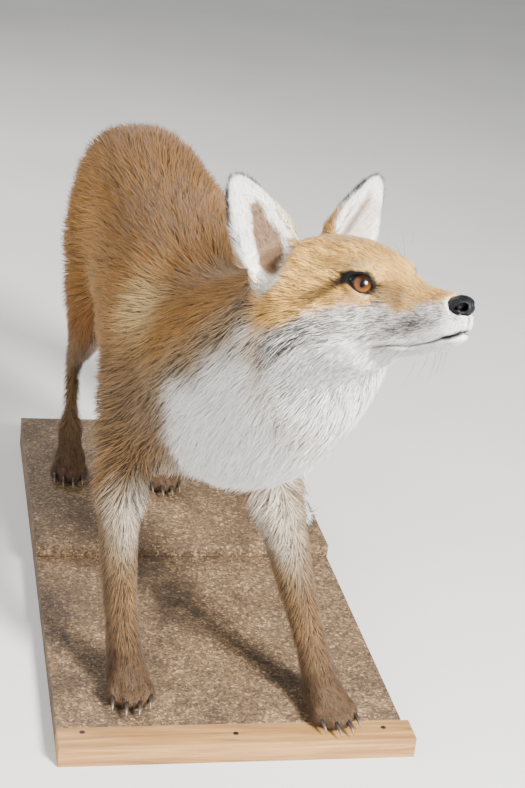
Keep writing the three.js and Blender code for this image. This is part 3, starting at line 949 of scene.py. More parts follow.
for side in SIDES:
    ball = eyeball(side)
    ball.data.materials.append(glass)
    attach(ball, "root")
    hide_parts(f"{side}_eye")
print("glass eyes", round(2 * EYE_RADIUS, 1), "mm across")

# %% [markdown]
# The nose pad is bare skin, nearly black and grained like fine leather, with comma-shaped nostrils. Its
# solid is remade finely, holes and the slits that run back from them are pressed in, and an attribute
# marks them for painted shade: their inside is painted black, without gloss.

# %% Nose
def wave(points, length, seed):
    """A soft random field between -1 and 1; length is the size of its patches in millimetres."""
    draw = np.random.default_rng(seed)
    total = np.zeros(len(points))
    for _ in range(7):
        way = unit(draw.normal(size=3))
        spread = length * draw.uniform(0.7, 1.5)
        total += np.sin(points @ way / MM * 2 * math.pi / spread + draw.uniform(0, 7))
    return total / 3.5


NOSTRIL, NOSTRIL_SIZE = (6.8, -66.5, -20.4), (3.0, 3.6, 2.6)
NOSTRIL_SLIT = [(5.6, -68, -20.6), (8.2, -65, -19.6), (10.4, -61, -20.6), (11.6, -57.5, -22.6)]
NOSTRIL_RIM = [(3.0, -69, -22.4), (5.2, -68.5, -25.0), (9.0, -65.5, -25.2)]
MIDDLE_GROOVE = [(0, -69, -14), (0, -69, -28)]
NOSE_GLOSS = 0.16
nose = merged_copy("nose_pad", ["nose"])
apply_modifier(nose, "REMESH", mode="VOXEL", voxel_size=0.5 * MM)
apply_modifier(nose, "SMOOTH", factor=0.5, iterations=8)
nose_places = coordinates_of(nose.data)
nose_h = mirrored(on_head(nose_places))
in_hole = np.exp(-np.sum(((nose_h - NOSTRIL) / NOSTRIL_SIZE) ** 2, axis=1) ** 2)
in_slit = closeness(nose_h, NOSTRIL_SLIT, 1.4)
push = (np.maximum(4.4 * in_hole, 3.0 * in_slit)
        - 0.6 * closeness(nose_h, NOSTRIL_RIM, 1.8)
        + 0.8 * closeness(nose_h, MIDDLE_GROOVE, 0.8)
        + 0.05 * wave(nose_places, 2.0, 31) + 0.06 * wave(nose_places, 5.0, 32))
nose_places -= coordinates_of(nose.data, "normal") * (push * MM)[:, None]
set_coordinates(nose.data, nose_places)
activate(nose)
bpy.ops.object.shade_smooth()
# painted shade: a share for the holes and slits, where the shade inside the nostrils is painted
paint_points(nose.data, "nostril_shade", "FLOAT", smooth_step(np.maximum(in_hole, in_slit), 0.04, 0.3))
nose_skin, tree, shader = new_material("grained_black_nose_skin", 0.52, Specular_IOR_Level=NOSE_GLOSS)
grain = add_node(tree, "ShaderNodeTexVoronoi", {"Scale": 1 / (0.75 * MM), "feature": "SMOOTH_F1"},
                 {"Vector": object_places(tree)})
dust = noise(tree, 4 * MM, detail=4.0)
pad_colour = colour_ramp(tree, dust.outputs["Fac"], [(0.35, "060708"), (0.62, "0C0D0F"), (0.8, "16181B")])
# painted shade inside the nostrils: black colour and no gloss where the share is full
inside = painted(tree, "nostril_shade").outputs["Fac"]
set_colour(tree, shader, mixed_colour(tree, inside, pad_colour, "010101"))
gloss = from_range(tree, inside, (0, 1), (NOSE_GLOSS, 0))
tree.links.new(gloss, shader.inputs["Specular IOR Level"])
set_bump(tree, shader, grain.outputs["Distance"], 0.7, 0.4 * MM)
nose.data.materials.append(nose_skin)
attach(nose, "root")
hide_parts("nose")
print("nose pad", len(nose.data.polygons), "faces")

# %% [markdown]
# ## The lie of the coat
# Hair grows backwards from the nose, down the cheeks and throat, away from the head over neck and
# shoulders, back along the trunk, and down the legs to the toes. Each part gets a plain direction, and
# averaging over the mesh joins them into one flowing field, which is then laid flat on the skin.

# %% Directions of growth
TAIL_LINE = [(-54, 150, 362), (10, 250, 222), (58, 216, 148), (110, 92, 63), (121, 28, 42)]
TOE_TURN = {"left_forepaw": 14, "right_forepaw": -8, "left_hindpaw": 4, "right_hindpaw": -4}  # degrees
EAR_HALF_WIDTH = 22  # millimetres


def head_flow(h):
    """Growth on the head, in the head's own directions."""
    side = np.sign(h[:, 0])
    back = np.ones(len(h))
    spread = 0.10 + 0.25 * smooth_step(h[:, 1], -20, 30) * smooth_step(h[:, 2], 0, 20)
    rise = 0.12 * smooth_step(h[:, 2], -10, 15)
    low = -h[:, 2]
    fall = (0.10 * smooth_step(low, 5, 20) + 0.55 * smooth_step(h[:, 1], 0, 45) * smooth_step(low, 0, 30)
            + 0.25 * smooth_step(low, 30, 45))
    return np.stack([side * spread, back, rise - fall], axis=1)


def tail_flow(points):
    """Growth on the tail: along the nearest stretch of its middle line."""
    line = np.array(TAIL_LINE, float) * MM
    best = np.full(len(points), np.inf)
    way = np.zeros((len(points), 3))
    for start, end in zip(line[:-1], line[1:]):
        along = end - start
        share = np.clip((points - start) @ along / (along @ along), 0, 1)
        away = np.linalg.norm(points - start - share[:, None] * along, axis=1)
        closer = away < best
        way[closer] = along / np.linalg.norm(along)
        best = np.minimum(best, away)
    return way


h = on_head(places)
normals = coordinates_of(skin.data, "normal")
from_skull = unit(places - from_head([(0, 5, 5)])[0])
flow = np.zeros_like(places)
flow[:] = (0, 1, -0.25)
away = smooth_step(-places[:, 1] / MM, 100, 240)[:, None]
flow = flow * (1 - away) + (from_skull + (0, 0, -0.35)) * away
chosen = members("neck")
flow[chosen] = from_skull[chosen] + (0, 0, -0.25)
flow[of_head] = head_direction(head_flow(h[of_head]))
flow[members("left_foreleg", "right_foreleg")] = (0, 0.12, -1)
flow[members("left_hindleg", "right_hindleg")] = (0, 0.3, -1)
for paw, turn in TOE_TURN.items():
    flow[members(paw)] = (math.sin(math.radians(turn)), -math.cos(math.radians(turn)), -0.55)
flow[members(*TAIL)] = tail_flow(places[members(*TAIL)])
flow = web.smooth(flow, 30)
inner_ear = np.zeros(len(places))
across_ear = np.zeros(len(places))
for side in SIDES:
    chosen = members(f"{side}_ear")
    up, facing = np.array(EAR_UP[side]), np.array(EAR_FACING[side])
    across = unit(np.cross(facing, up))
    local = (places[chosen] - np.array(EAR_FOOT[side])) / MM
    across_ear[chosen] = local @ across / EAR_HALF_WIDTH
    inner_ear[chosen] = smooth_step(normals[chosen] @ facing, 0.15, 0.45)
    flow[chosen] = up + across * (0.55 * across_ear[chosen])[:, None]
for side in SIDES:  # hair in the opening of the ear stands up along it
    across, back, up = on_ear(side, outer).T
    opening = (np.abs(across) < 18) & (np.abs(back + 5) < 10) & (np.abs(up - 6) < 13) & ~on_ears
    flow[opening] = np.array(EAR_UP[side])
flow += (np.array(EAR_UP["right"]) - flow) * (ear_opening * ~on_ears)[:, None]
inner_ear = np.maximum(inner_ear, (ear_opening > 0.1) * members("right_ear"))
flow = web.smooth(flow, 3)
flow = unit(flow - normals * np.sum(flow * normals, axis=1, keepdims=True))
print("growth set at", len(flow), "points")

# %% [markdown]
# ## The markings
# A red fox is rust on the back, golden on the crown, white on lip, throat, chest and tail tip, black
# behind the ears and greyer where dark guard hairs show through the white. The colours are painted at
# the points of the skin, so that skin and coat share them, as washes laid one over another.

# %% Markings
h = on_head(outer)
mirrored_h = mirrored(h)
skin_h = mirrored(on_head(places))


def near_line(line, width):
    return closeness(mirrored_h, line, width)


def near_spot(place, reach, spots=mirrored_h):
    """1 at a place, falling softly to 0 over a reach along each axis."""
    offset = (spots - np.array(place, float)) / np.array(reach, float)
    return np.exp(-np.sum(offset ** 2, axis=1))


def share_of(rounds, *names):
    """1 on some parts and 0 elsewhere, with a soft border."""
    return web.smooth(members(*names).astype(float), rounds)


colour = np.tile(linear("96692C"), (len(places), 1))
dark = np.full(len(places), 0.10)  # share of dark guard hairs


def set_dark(mask, value):
    global dark
    share = np.clip(np.asarray(mask, float), 0, 1)
    dark = dark * (1 - share) + value * share


def wash(mask, code, strength=1.0, guard_hairs=None):
    """Lays a colour over the skin, and a share of dark guard hairs with it where one is given."""
    global colour
    share = np.clip(np.asarray(mask, float) * strength, 0, 1)[:, None]
    colour = colour * (1 - share) + linear(code) * share
    if guard_hairs is not None:
        set_dark(mask, guard_hairs)


x, y, z = (outer / MM).T
hy, hz = h[:, 1], h[:, 2]
up_facing = normals[:, 2]
patch = wave(places, 90, 1)
small_patch = wave(places, 28, 2)
trunk_part = share_of(12, "trunk", "neck", "tail_root")
head_part = share_of(8, "head", "lower_jaw")
leg_part = share_of(12, *LEGS, *PAWS)
tail_part = share_of(10, *TAIL)
print("parts of the coat told apart")

# %% [markdown]
# The trunk starts as one rust brown. The spine is washed darker and the flanks sandier, in soft patches,
# and each shoulder carries a pale whorl with grey-brown hair below it.

# %% Colours of the trunk
WHORL, WHORL_REACH = (92, -178, 334), (32, 35, 27)  # millimetres, on the fox's left
BELOW_WHORL, BELOW_REACH = (92, -215, 275), (34, 50, 45)
wash(trunk_part * smooth_step(up_facing, 0.2, 0.9), "7A5322", 0.75)
wash(trunk_part * smooth_step(patch, 0.1, 1.1), "B8874A", 0.55)
wash(trunk_part * smooth_step(-up_facing + 0.25 * small_patch, -0.2, 0.5), "A37F4B", 0.7)
for sign in (-1, 1):
    whorl = near_spot((sign * WHORL[0] - 4, *WHORL[1:]), WHORL_REACH, outer / MM)
    wash(smooth_step(whorl, 0.0, 0.9), "DFBE85", 0.95)
    wash(near_spot((sign * BELOW_WHORL[0], *BELOW_WHORL[1:]), BELOW_REACH, outer / MM), "806749", 0.8, 0.32)
wash(trunk_part * smooth_step(320 - z, 0, 70) * smooth_step(-y, 90, 150), "84694A", 0.7, 0.28)
wash(trunk_part * smooth_step(-up_facing, 0.45, 0.85) * smooth_step(220 - z, -40, 20), "CFC2AE", 0.85)

# %% [markdown]
# The bib is the whitest part of the coat. It begins at a line that runs from the cheeks down to the
# forelegs, made ragged by a random field, with a ruff of grey-brown hair along it.

# %% Colours of the bib
BIB_TURN = math.radians(15)
BIB_HEIGHTS = [150, 230, 300, 345, 380, 410]  # millimetres over the ground,
BIB_EDGE = [196, 212, 232, 280, 306, 332]  # and how far forward the white begins there
ahead_of_line = -y * math.cos(BIB_TURN) + x * math.sin(BIB_TURN)
past_edge = ahead_of_line - np.interp(z, BIB_HEIGHTS, BIB_EDGE)
bib = smooth_step(past_edge + 7 * small_patch, -12, 16) * np.maximum(trunk_part, 1 - leg_part)
bib = bib * (1 - head_part) * (1 - tail_part) * smooth_step(z, 130, 190)
ruff = np.exp(-((past_edge + 12) / 26) ** 2) * trunk_part * smooth_step(z, 240, 310)
wash(share_of(12, "neck"), "956A33", 0.5)
wash(ruff, "A08E74", 0.75, 0.36)
wash(bib, "F2F0EC", 1.0, 0.015)

# %% [markdown]
# Legs are grey-brown, pale on the upper inner side and darker at the feet, while the thighs keep the
# rust of the back. The tail is rust with dark hairs in it, and white at its end.

# %% Colours of legs and tail
wash(leg_part, "72593D", 0.95, 0.22)
wash(leg_part * smooth_step(small_patch, -0.2, 1.0), "8A6B43", 0.5)
fore_part = leg_part * smooth_step(-y, 100, 140)
inner_side = smooth_step(-normals[:, 0] * np.sign(x + 15) - 0.25 * normals[:, 1], 0.0, 0.6)
wash(leg_part * inner_side * smooth_step(z, 130, 190), "DDD5C8", 0.9)
wash(fore_part * smooth_step(z, 110, 185) * smooth_step(-normals[:, 1], 0.1, 0.7), "C8BBA4", 0.7)
wash(leg_part * smooth_step(95 - z, 0, 60), "5A4531", 0.85)
wash(share_of(12, "left_hindleg", "right_hindleg") * smooth_step(z, 150, 230), "946130", 0.8)
wash(tail_part, "986630", 0.9, 0.3)
wash(share_of(8, "tail_tip"), "F1EEE8", 1.0, 0.02)

# %% [markdown]
# The head runs from a golden crown over a browner face to white below, with a grey band of mixed hairs
# between. The borders are heights along the head, ragged by a fine random field. Dark hair grows round
# the roots of the whiskers.

# %% Colours of the head
FACE_BACK = [-60, -43, -31, -20, -6, 7, 20, 37, 59]  # millimetres behind the eyes,
ORANGE_LOW = [-13, -15, -18, -20, -16.5, -12, -13, -18, -23]  # and how low the orange reaches there
LIP_BACK = [-60, -30, -15, 6, 24, 44, 72]
WHITE_TOP = [-27, -33, -36, -32, -31, -39, -48]
WHISKER_PATCHES = (((17.5, -34, -26.8), (7, 9, 3.2)), ((18.5, -24, -30), (7, 9, 2.6)))
wash(head_part, "D8A95A", 1.0, 0.13)
wash(head_part * smooth_step(hy, 40, 75) * smooth_step(hz, -20, 20), "A97B48", 0.7)
wash(head_part * near_spot((0, 8, 26), (12, 30, 16)), "B28747", 0.5)
wash(head_part * smooth_step(wave(places, 16, 3), 0.1, 1.0), "B8874A", 0.5)
wash(head_part * near_spot((28, 16, -8), (14, 26, 9)), "BC8344", 0.6)
wash(head_part * near_spot((20, -24, -10), (9, 16, 8)), "AE8B66", 0.75)
ragged = 2.5 * wave(places, 9, 4)
below_orange = np.interp(hy, FACE_BACK, ORANGE_LOW) - hz + ragged
wash(head_part * smooth_step(below_orange, -3, 5) * smooth_step(92 - hy, 0, 25), "DCD7D0", 1.0, 0.46)
wash(head_part * smooth_step(np.interp(hy, LIP_BACK, WHITE_TOP) - hz + ragged, -4, 6), "F3F1ED", 1.0, 0.05)
whisker_patch = head_part * np.maximum(*(near_spot(*spot) for spot in WHISKER_PATCHES))
wash(whisker_patch * smooth_step(wave(places, 5, 7), -0.8, 0.6), "1E1816", 1.0)
set_dark(whisker_patch, 0.8)
wash(head_part * near_spot((20, -6, -43), (5, 6, 3)), "8A7252", 0.6)
wash(smooth_step(near_line(MOUTH_LINE, 1.7), 0.15, 0.6), "0C0807", 1.0)
# partly real and partly painted shade: black lip skin, widened at the front where the gap between the lips
# is painted black as shade
wash(smooth_step(near_line([(5, -61, -36.4), (11.2, -51, -38.2)], 2.4), 0.2, 0.6), "0A0706", 1.0)
wash(near_line(LIP_GROOVE, 1.2), "1A1412", 0.95)
wash(near_spot((27, -4, -9), (12, 9, 4.5)), "D9BE94", 0.6)
wash(near_spot((25, 2, 12), (12, 14, 4)), "D8BA86", 0.55)
print("trunk, legs, tail and head painted")

# %% [markdown]
# A fox's eye is outlined in black: a rim that widens above and at both ends, a tear line in front and a
# dark streak that runs back over the cheek. The streak is laid along the line of sight on to the skin
# below the coat, so that it shows where the line was drawn.

# %% Round the eyes
def tree_of(piece):
    """A search tree over the faces of a piece, for nearest places and rays."""
    return BVHTree.FromPolygons([tuple(p) for p in coordinates_of(piece.data)],
                                [tuple(p.vertices) for p in piece.data.polygons])


skin_tree = tree_of(skin)


def seen_line(line):
    """The places of the sunk skin that lie behind a line of places, as seen from the camera."""
    found = []
    for x_place, y_place, z_place in line:
        target = Vector(from_head([(-x_place, y_place, z_place)])[0])
        hit = skin_tree.ray_cast(CAMERA_PLACE, (target - CAMERA_PLACE).normalized())[0]
        found.append(tuple(mirrored(on_head([hit]))[0]))
    return found


streak = closeness(skin_h, seen_line(EYE_STREAK), 3.4) * ~on_ears * of_head
streak = smooth_step(streak, 0.1, 0.55) * (0.75 + 0.25 * smooth_step(-skin_h[:, 1], -22, -4))
wash(streak, "0E0805", 1.0)
duct = closeness(skin_h, seen_line(TEAR_LINE), 2.0) * of_head
wash(smooth_step(duct, 0.15, 0.7), "150C07", 1.0)
bare_rim = np.zeros(len(places))
for side in SIDES:  # the black line round the opening, widest above and at both ends
    beyond, turn, radius = beyond_opening(side, places)
    reach = (1.0 + 1.3 * np.maximum(np.sin(turn), 0) + 5.0 * np.maximum(np.cos(turn), 0) ** 8
             + 2.0 * np.maximum(-np.cos(turn), 0) ** 8)
    black = smooth_step(reach + 0.5 * wave(places, 4, 8) - beyond, -0.6, 0.9) * (radius < 20) * ~on_ears
    wash(black, "0B0705", 1.0)
    bare_rim = np.maximum(bare_rim, (beyond < 1.2) * (radius < 16) * ~on_ears)
print("eyes outlined")

# %% [markdown]
# Ears are black behind, and in front they have white hair round a bare brown patch. The far ear shows
# the shade of a fold instead. The head in the opening of each ear carries the ear's pale hair.

# %% Colours of the ears
ear = members(*EARS).astype(float)
wash(ear, "17120F", 1.0, 0.04)
wash(ear * inner_ear, "F0EAE0")
foot_height = np.full(len(places), 99.0)
for side in SIDES:  # the head in the opening of the ear carries the pale hair of the ear
    across, back, up = on_ear(side, outer).T
    within = (smooth_step(19 - np.abs(across), 0, 5) * smooth_step(back + 15, 0, 4)
              * smooth_step(6 - back, 0, 4) * smooth_step(up + 7, 0, 5) * smooth_step(20 - up, 0, 6))
    within *= ~on_ears
    wash(within, "E4DACA", 0.95)
    wash(within * smooth_step(11 - np.abs(across), 0, 5) * smooth_step(up, -2, 6), "8C6F5A", 0.8)
    chosen = members(f"{side}_ear")
    foot_height[chosen] = up_ear(side, places[chosen])
bare = (ear * inner_ear * smooth_step(0.66 - np.abs(across_ear + 0.05) + 0.08 * wave(places, 9, 9), 0, 0.25)
        * smooth_step(56 - foot_height, 0, 14))
bare[outer[:, 0] < 0.01] = 0
bare = np.maximum(bare, ear_bare)
wash(bare * smooth_step(-outer[:, 0] / MM, -15, 0), "644A33", 0.97)
wash(bare * smooth_step(outer[:, 0] / MM, 0, 15), "AFA093", 0.8)
wash(bare * np.exp(-((across_ear - 0.2) / 0.15) ** 2) * (outer[:, 0] > 0.02), "6E6054", 0.9)
wash(ear * (1 - inner_ear) * smooth_step(32 - foot_height, 0, 14), "BC9058", 1.0)
wash(ear * inner_ear * (1 - ear_bare) * smooth_step(12 - foot_height, 0, 5), "E6DCCB", 0.95)
wash(ear * smooth_step(foot_height, 60, 70), "3A2C22", 0.6)
wash(ear_opening * (1 - bare), "F0EAE0", 0.95)
wash(closeness(seen_at(places), GOLDEN_RIM, 5) * members("right_ear"), "E2CDA0", 0.85)
set_dark(ear_opening, 0.02)
colour = web.smooth(colour, 1)
dark = web.smooth(dark, 1)
print("markings painted")

# %% [markdown]
# ## The coat
# Hair can't be exported as strands, so each lock is a small solid: a three-sided spike, wide at the
# root and pointed at the tip, straight or bent once. A straight one needs only four triangles. Where a
# lock grows, how long it is and which way it lies are all read from the skin under its root.

# %% Length and width of the locks
LENGTH = {  # millimetres
    "neck": 33, "trunk": 31, "foreleg": 11, "hindleg": 15, "forepaw": 7, "hindpaw": 7,
    "tail_root": 36, "tail_middle": 48, "tail_tip": 44, "ear": 5}
HALF_WIDTH = {
    "neck": 0.33, "trunk": 0.36, "foreleg": 0.36, "hindleg": 0.40, "forepaw": 0.28, "hindpaw": 0.28,
    "tail_root": 0.42, "tail_middle": 0.46, "tail_tip": 0.45, "ear": 0.24}
COVER = {  # how many locks lie over any one place
    "neck": 6.4, "trunk": 5.4, "foreleg": 3.0, "hindleg": 3.0, "forepaw": 3.2, "hindpaw": 3.2,
    "tail_root": 7, "tail_middle": 9, "tail_tip": 9, "ear": 3.0}
LENGTH_BACK = [-62, -45, -20, 0, 30, 60]  # millimetres behind the eyes,
HEAD_LENGTH = [3.0, 4.6, 6.8, 9.0, 12.5, 18]  # and the length of the locks there
OPENING_HAIR = 8  # longest hair in the opening of an ear
HEAD_WIDTH = ([2, 6, 20], [0.17, 0.21, 0.36])  # half widths of locks on the head, by their length
HEAD_COVER = ([3, 9, 20], [3.6, 4.0, 5.2])


def head_length(h):
    """Length of the locks in millimetres on the head, from places on the head."""
    length = np.interp(h[:, 1], LENGTH_BACK, HEAD_LENGTH)
    length += 9 * smooth_step(h[:, 1], 5, 45) * smooth_step(-h[:, 2], 5, 35)
    length += 6 * smooth_step(h[:, 1], -15, 30) * smooth_step(-h[:, 2], 38, 50)
    near_eye = np.linalg.norm(mirrored(h) - (28, -3, 1), axis=1)
    return length * (0.5 + 0.5 * smooth_step(near_eye, 9, 22))


length = by_part(LENGTH)
half_width = by_part(HALF_WIDTH)
cover = by_part(COVER)
length[of_head] = head_length(h[of_head])
half_width[of_head] = np.interp(length[of_head], *HEAD_WIDTH)
cover[of_head] = np.interp(length[of_head], *HEAD_COVER)
length = web.smooth(length, 22)
half_width = web.smooth(half_width, 12)
cover = web.smooth(cover, 12)
length[on_face] = head_length(h[on_face])
ear_edge = smooth_step(np.abs(across_ear[on_ears]), 0.5, 0.9)
length[on_ears] = LENGTH["ear"] + 4.0 * np.maximum(ear_edge, 1 - inner_ear[on_ears])
length *= 1 - 0.4 * ear_front
length += (np.minimum(length, OPENING_HAIR) - length) * ear_opening
half_width[on_ears] = HALF_WIDTH["ear"]
lift = np.maximum(depth, 0.25 * length) * 0.95  # how high the tips stand over the skin
lift[on_ears] = length[on_ears] * 0.4
lift += 0.9 * np.exp(-((np.linalg.norm(skin_h - (29, 1, 3), axis=1) - 15) / 7) ** 2) * of_head * ~on_ears
print("longest locks", round(length.max()), "mm")

# %% [markdown]
# Some places carry no locks: the rims of the eyes, the lips, the nose, the soles, the brown patch of the
# ears, and the seam where a shell is sewn to the head.

# %% Bare places
NOSE_GAP = 0.8 * MM
from_corner = np.linalg.norm(seen_at(places) - EAR_CORNER, axis=1)
bare_skin = np.maximum.reduce([
    bare_rim,
    smooth_step(near_line(MOUTH_LINE, 1.5) + near_line(LIP_GROOVE, 1.1), 0.25, 0.6),
    0.75 * bare,
    0.85 * ear_bare * ~on_ears,
    on_ears * smooth_step(8 - foot_height, 0, 3),
    on_ears * inner_ear * smooth_step(17 - foot_height, 0, 3),
    smooth_step(12 - from_corner, 0, 3) * (of_head | on_ears)])
nose_tree = tree_of(nose)
for k in np.flatnonzero(of_head & (h[:, 1] < -48)):
    if nose_tree.find_nearest(Vector(places[k]))[3] < NOSE_GAP:
        bare_skin[k] = 1
bare_skin[(normals[:, 2] < -0.75) & members(*PAWS)] = 1
print("bare points:", int((bare_skin > 0.5).sum()))

# %% [markdown]
# The coat's colours may be baked later, so every lock needs its own place on an unwrap. Each part of the
# fox is rolled off round its own middle line, on its own tile, and a lock takes a small patch there.

# %% An unwrap of the skin
TILES = 5
TILE_MARGIN = 0.04


def part_unwrap(points, normal, index):
    """A place on the unwrap for points of one part, from the angle round it and the way along it."""
    low, high = (np.array(corner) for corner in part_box(FLESH[index]))
    middle = (low + high) / 2
    axis = int(np.argmax(high - low))
    others = [k for k in range(3) if k != axis]
    around = np.arctan2(normal[:, others[1]], normal[:, others[0]]) / (2 * math.pi) + 0.5
    along = (points[:, axis] - low[axis]) / (high[axis] - low[axis])
    corner = np.array([index % TILES, index // TILES]) + TILE_MARGIN
    return (corner + (1 - 2 * TILE_MARGIN) * np.stack([around, np.clip(along, 0, 1)], axis=1)) / TILES


def unwrap(points, normal, owner):
    """Places on the unwrap for points of several parts."""
    spots = np.zeros((len(points), 2))
    for index in np.unique(owner):
        chosen = owner == index
        spots[chosen] = part_unwrap(points[chosen], normal[chosen], index)
    return spots


print("tiles on the unwrap:", len(FLESH))

# %% [markdown]
# Locks are scattered evenly: each face of the skin gets its share of them by its area. A lock's
# joints are then dropped on to the nearest skin and raised again by the height of the coat there, so
# that the coat follows every curve. Neighbouring locks lean together, as real hair does, because each
# one's tip is drawn towards that of the nearest leader. A lock that would land on a face turned away
# from its root is left out, and no lock follows a leader on the other side of a thin ear.

# %% Scattering the locks
triangles = np.empty(len(skin.data.polygons) * 3, np.int32)
skin.data.polygons.foreach_get("vertices", triangles)
triangles = triangles.reshape(-1, 3)
corners = places[triangles]
areas = np.linalg.norm(np.cross(corners[:, 1] - corners[:, 0], corners[:, 2] - corners[:, 0]), axis=1) / 2
face_normals = unit(np.cross(corners[:, 1] - corners[:, 0], corners[:, 2] - corners[:, 0]))
middle_part = part[triangles[:, 0]]
middles = corners.mean(1)


def faces_of(*names):
    """True at the faces that belong to any of these parts."""
    return np.isin(middle_part, [FLESH.index(name) for name in names])


def at_roots(values, face, share):
    return np.einsum("nk,nk...->n...", share, values[triangles[face]])


def scatter(chosen, cover_scale):
    """Faces and corner shares of lock roots, for a share of the cover that each place should have."""
    face = np.flatnonzero(chosen)
    wide = half_width[triangles[face]].mean(1)
    tall = length[triangles[face]].mean(1)
    wanted = areas[face] / MM ** 2 * cover_scale * cover[triangles[face]].mean(1) / (wide * tall)
    wanted *= 1 - bare_skin[triangles[face]].mean(1)
    number = np.floor(wanted + chance.random(len(face))).astype(int)
    face = np.repeat(face, number)
    share = -np.log(chance.random((len(face), 3)) + 1e-9)
    return face, share / share.sum(1, keepdims=True)


def drop_on_skin(points, height):
    """The nearest place of the skin to each point, raised along its normal, and the face it lies on."""
    raised = np.empty_like(points)
    face = np.empty(len(points), int)
    for k, point in enumerate(points.tolist()):
        place, normal, face[k], _ = skin_tree.find_nearest(point)
        raised[k] = place + normal * height[k]
    return raised, face


def nearest_leaders(root, clump_size):
    """The lock that each lock follows: one in every clump_size leads those around it."""
    leaders = np.arange(0, len(root), clump_size)
    finder = KDTree(len(leaders))
    for slot, leader in enumerate(leaders):
        finder.insert(root[leader], slot)
    finder.balance()
    return leaders[np.array([finder.find(point)[1] for point in root.tolist()])]


of_ears = faces_of(*EARS)
print("faces to grow on:", len(triangles), "of them on the ears:", int(of_ears.sum()))

# %% Shaping and colouring the locks
ROOT_SINK = 0.35 * MM
ROOT_SHADE, PALE_ROOT_SHADE = 0.84, 0.97  # locks are darker at the root, where little light gets in
TIP_SHADE = 1.1
GUARD_HAIR = "3B302A"


def lock_tones(root, face, share, joints, covered):
    """The colours of each lock from root to tip; covered holds the faces below its middle and tip."""
    tint, darker = at_roots(colour, face, share), at_roots(dark, face, share)
    tip_tint = tint
    if covered:  # a lock takes its colour from the place that it covers
        middle_face, tip_face = covered
        across = (of_ears[middle_face] | of_ears[tip_face])[:, None]  # an ear is thin: not its far side
        tint = np.where(across, tint, colour[triangles[middle_face]].mean(1))
        tip_tint = np.where(across, tint, colour[triangles[tip_face]].mean(1))
        darker = dark[triangles[middle_face]].mean(1)
    is_dark = (chance.random(len(root)) < darker)[:, None]
    shade = np.exp(0.14 * chance.normal(size=len(root)) + 0.10 * wave(root, 6, 14))[:, None]
    pale = smooth_step(tint.min(1), 0.35, 0.75)[:, None]
    root_tint = tint * (ROOT_SHADE * (1 - pale) + PALE_ROOT_SHADE * pale)
    tones = []
    for tone in [root_tint] + [tint] * joints + [tip_tint * TIP_SHADE]:
        tone = tone * shade
        dark_tone = np.minimum(tone, linear(GUARD_HAIR)) * 0.28 + tone * 0.14
        tones.append(np.minimum(np.where(is_dark, dark_tone, tone), 0.93))
    return tones


def grow(title, chosen, cover_scale, joints, cling=0.75, clump=0.35, clump_size=9, stray=0.11,
         lift_scale=1.0, root_colour=False):
    """One piece of the coat. joints is the number of bends in each lock, cling how closely they follow
    the skin, clump how far the tips are drawn together, and stray how much single locks turn aside."""
    face, share = scatter(chosen, cover_scale)
    count = len(face)
    root = at_roots(places, face, share)
    normal = unit(at_roots(normals, face, share))
    lie = at_roots(flow, face, share)
    tall = at_roots(length, face, share) * MM * chance.uniform(0.7, 1.25, count)
    wide = at_roots(half_width, face, share) * MM * chance.uniform(0.75, 1.25, count)
    raised = at_roots(lift, face, share) * MM * lift_scale * chance.uniform(0.66, 1.04, count)
    side = unit(np.cross(normal, lie))
    sway = stray * chance.normal(size=count) + 0.22 * wave(root, 22, 11) + 0.12 * wave(root, 7, 12)
    lie = unit(lie + side * sway[:, None])
    raised = np.minimum(raised, 0.8 * tall)
    ahead = np.sqrt(tall ** 2 - raised ** 2)
    landing = drop_on_skin(root + lie * ahead[:, None], raised)[1]
    kept = np.sum(face_normals[landing] * normal, axis=1) > 0  # a lock never folds round a sharp edge
    face, share, root, normal, lie, tall, wide, raised, ahead = (
        values[kept] for values in (face, share, root, normal, lie, tall, wide, raised, ahead))
    stops = np.linspace(0, 1, joints + 2)[1:]
    spine = [root - normal * ROOT_SINK]
    for stop in stops:
        height = raised * (1 - (1 - stop) ** 1.7)
        straight = root + lie * (ahead * stop)[:, None]
        free = straight + normal * height[:, None]
        dropped, tip_face = drop_on_skin(straight, height)
        spine.append(free * (1 - cling) + dropped * cling)
    leader = nearest_leaders(root, clump_size)
    follows = np.sum(normal * normal[leader], axis=1) > 0.3
    for k in range(1, len(spine)):
        pull = (clump * follows * stops[k - 1] ** 1.5 * chance.uniform(0.5, 1.2, len(root)))[:, None]
        target = root[leader] + (spine[k][leader] - root[leader]) * (tall / tall[leader])[:, None]
        spine[k] = spine[k] * (1 - pull) + target * pull
    covered = None
    if not root_colour:
        covered = drop_on_skin(root + lie * (ahead * 0.5)[:, None], raised)[1], tip_face
    tones = lock_tones(root, face, share, joints, covered)
    spots = unwrap(root, normal, middle_part[face])
    return tuft_mesh(title, spine, wide, normal, tones, spots)


print("ready to grow")

# %% [markdown]
# Every lock has three corners at each joint and one point at its tip, and all locks of a piece share
# one mesh. A lock is shaded mostly like the skin below it, which hides its hard edges.

# %% One mesh for many locks
PROFILE = {0: [1.0], 1: [0.8, 1.0]}  # width at the root and at each joint
FLATTENING = 0.75
PATCH = 0.003  # the size of one lock on the unwrap
NORMAL_SHARE = 0.68  # how far a lock is shaded like the skin under it rather than by its own sides
coat_pieces = []


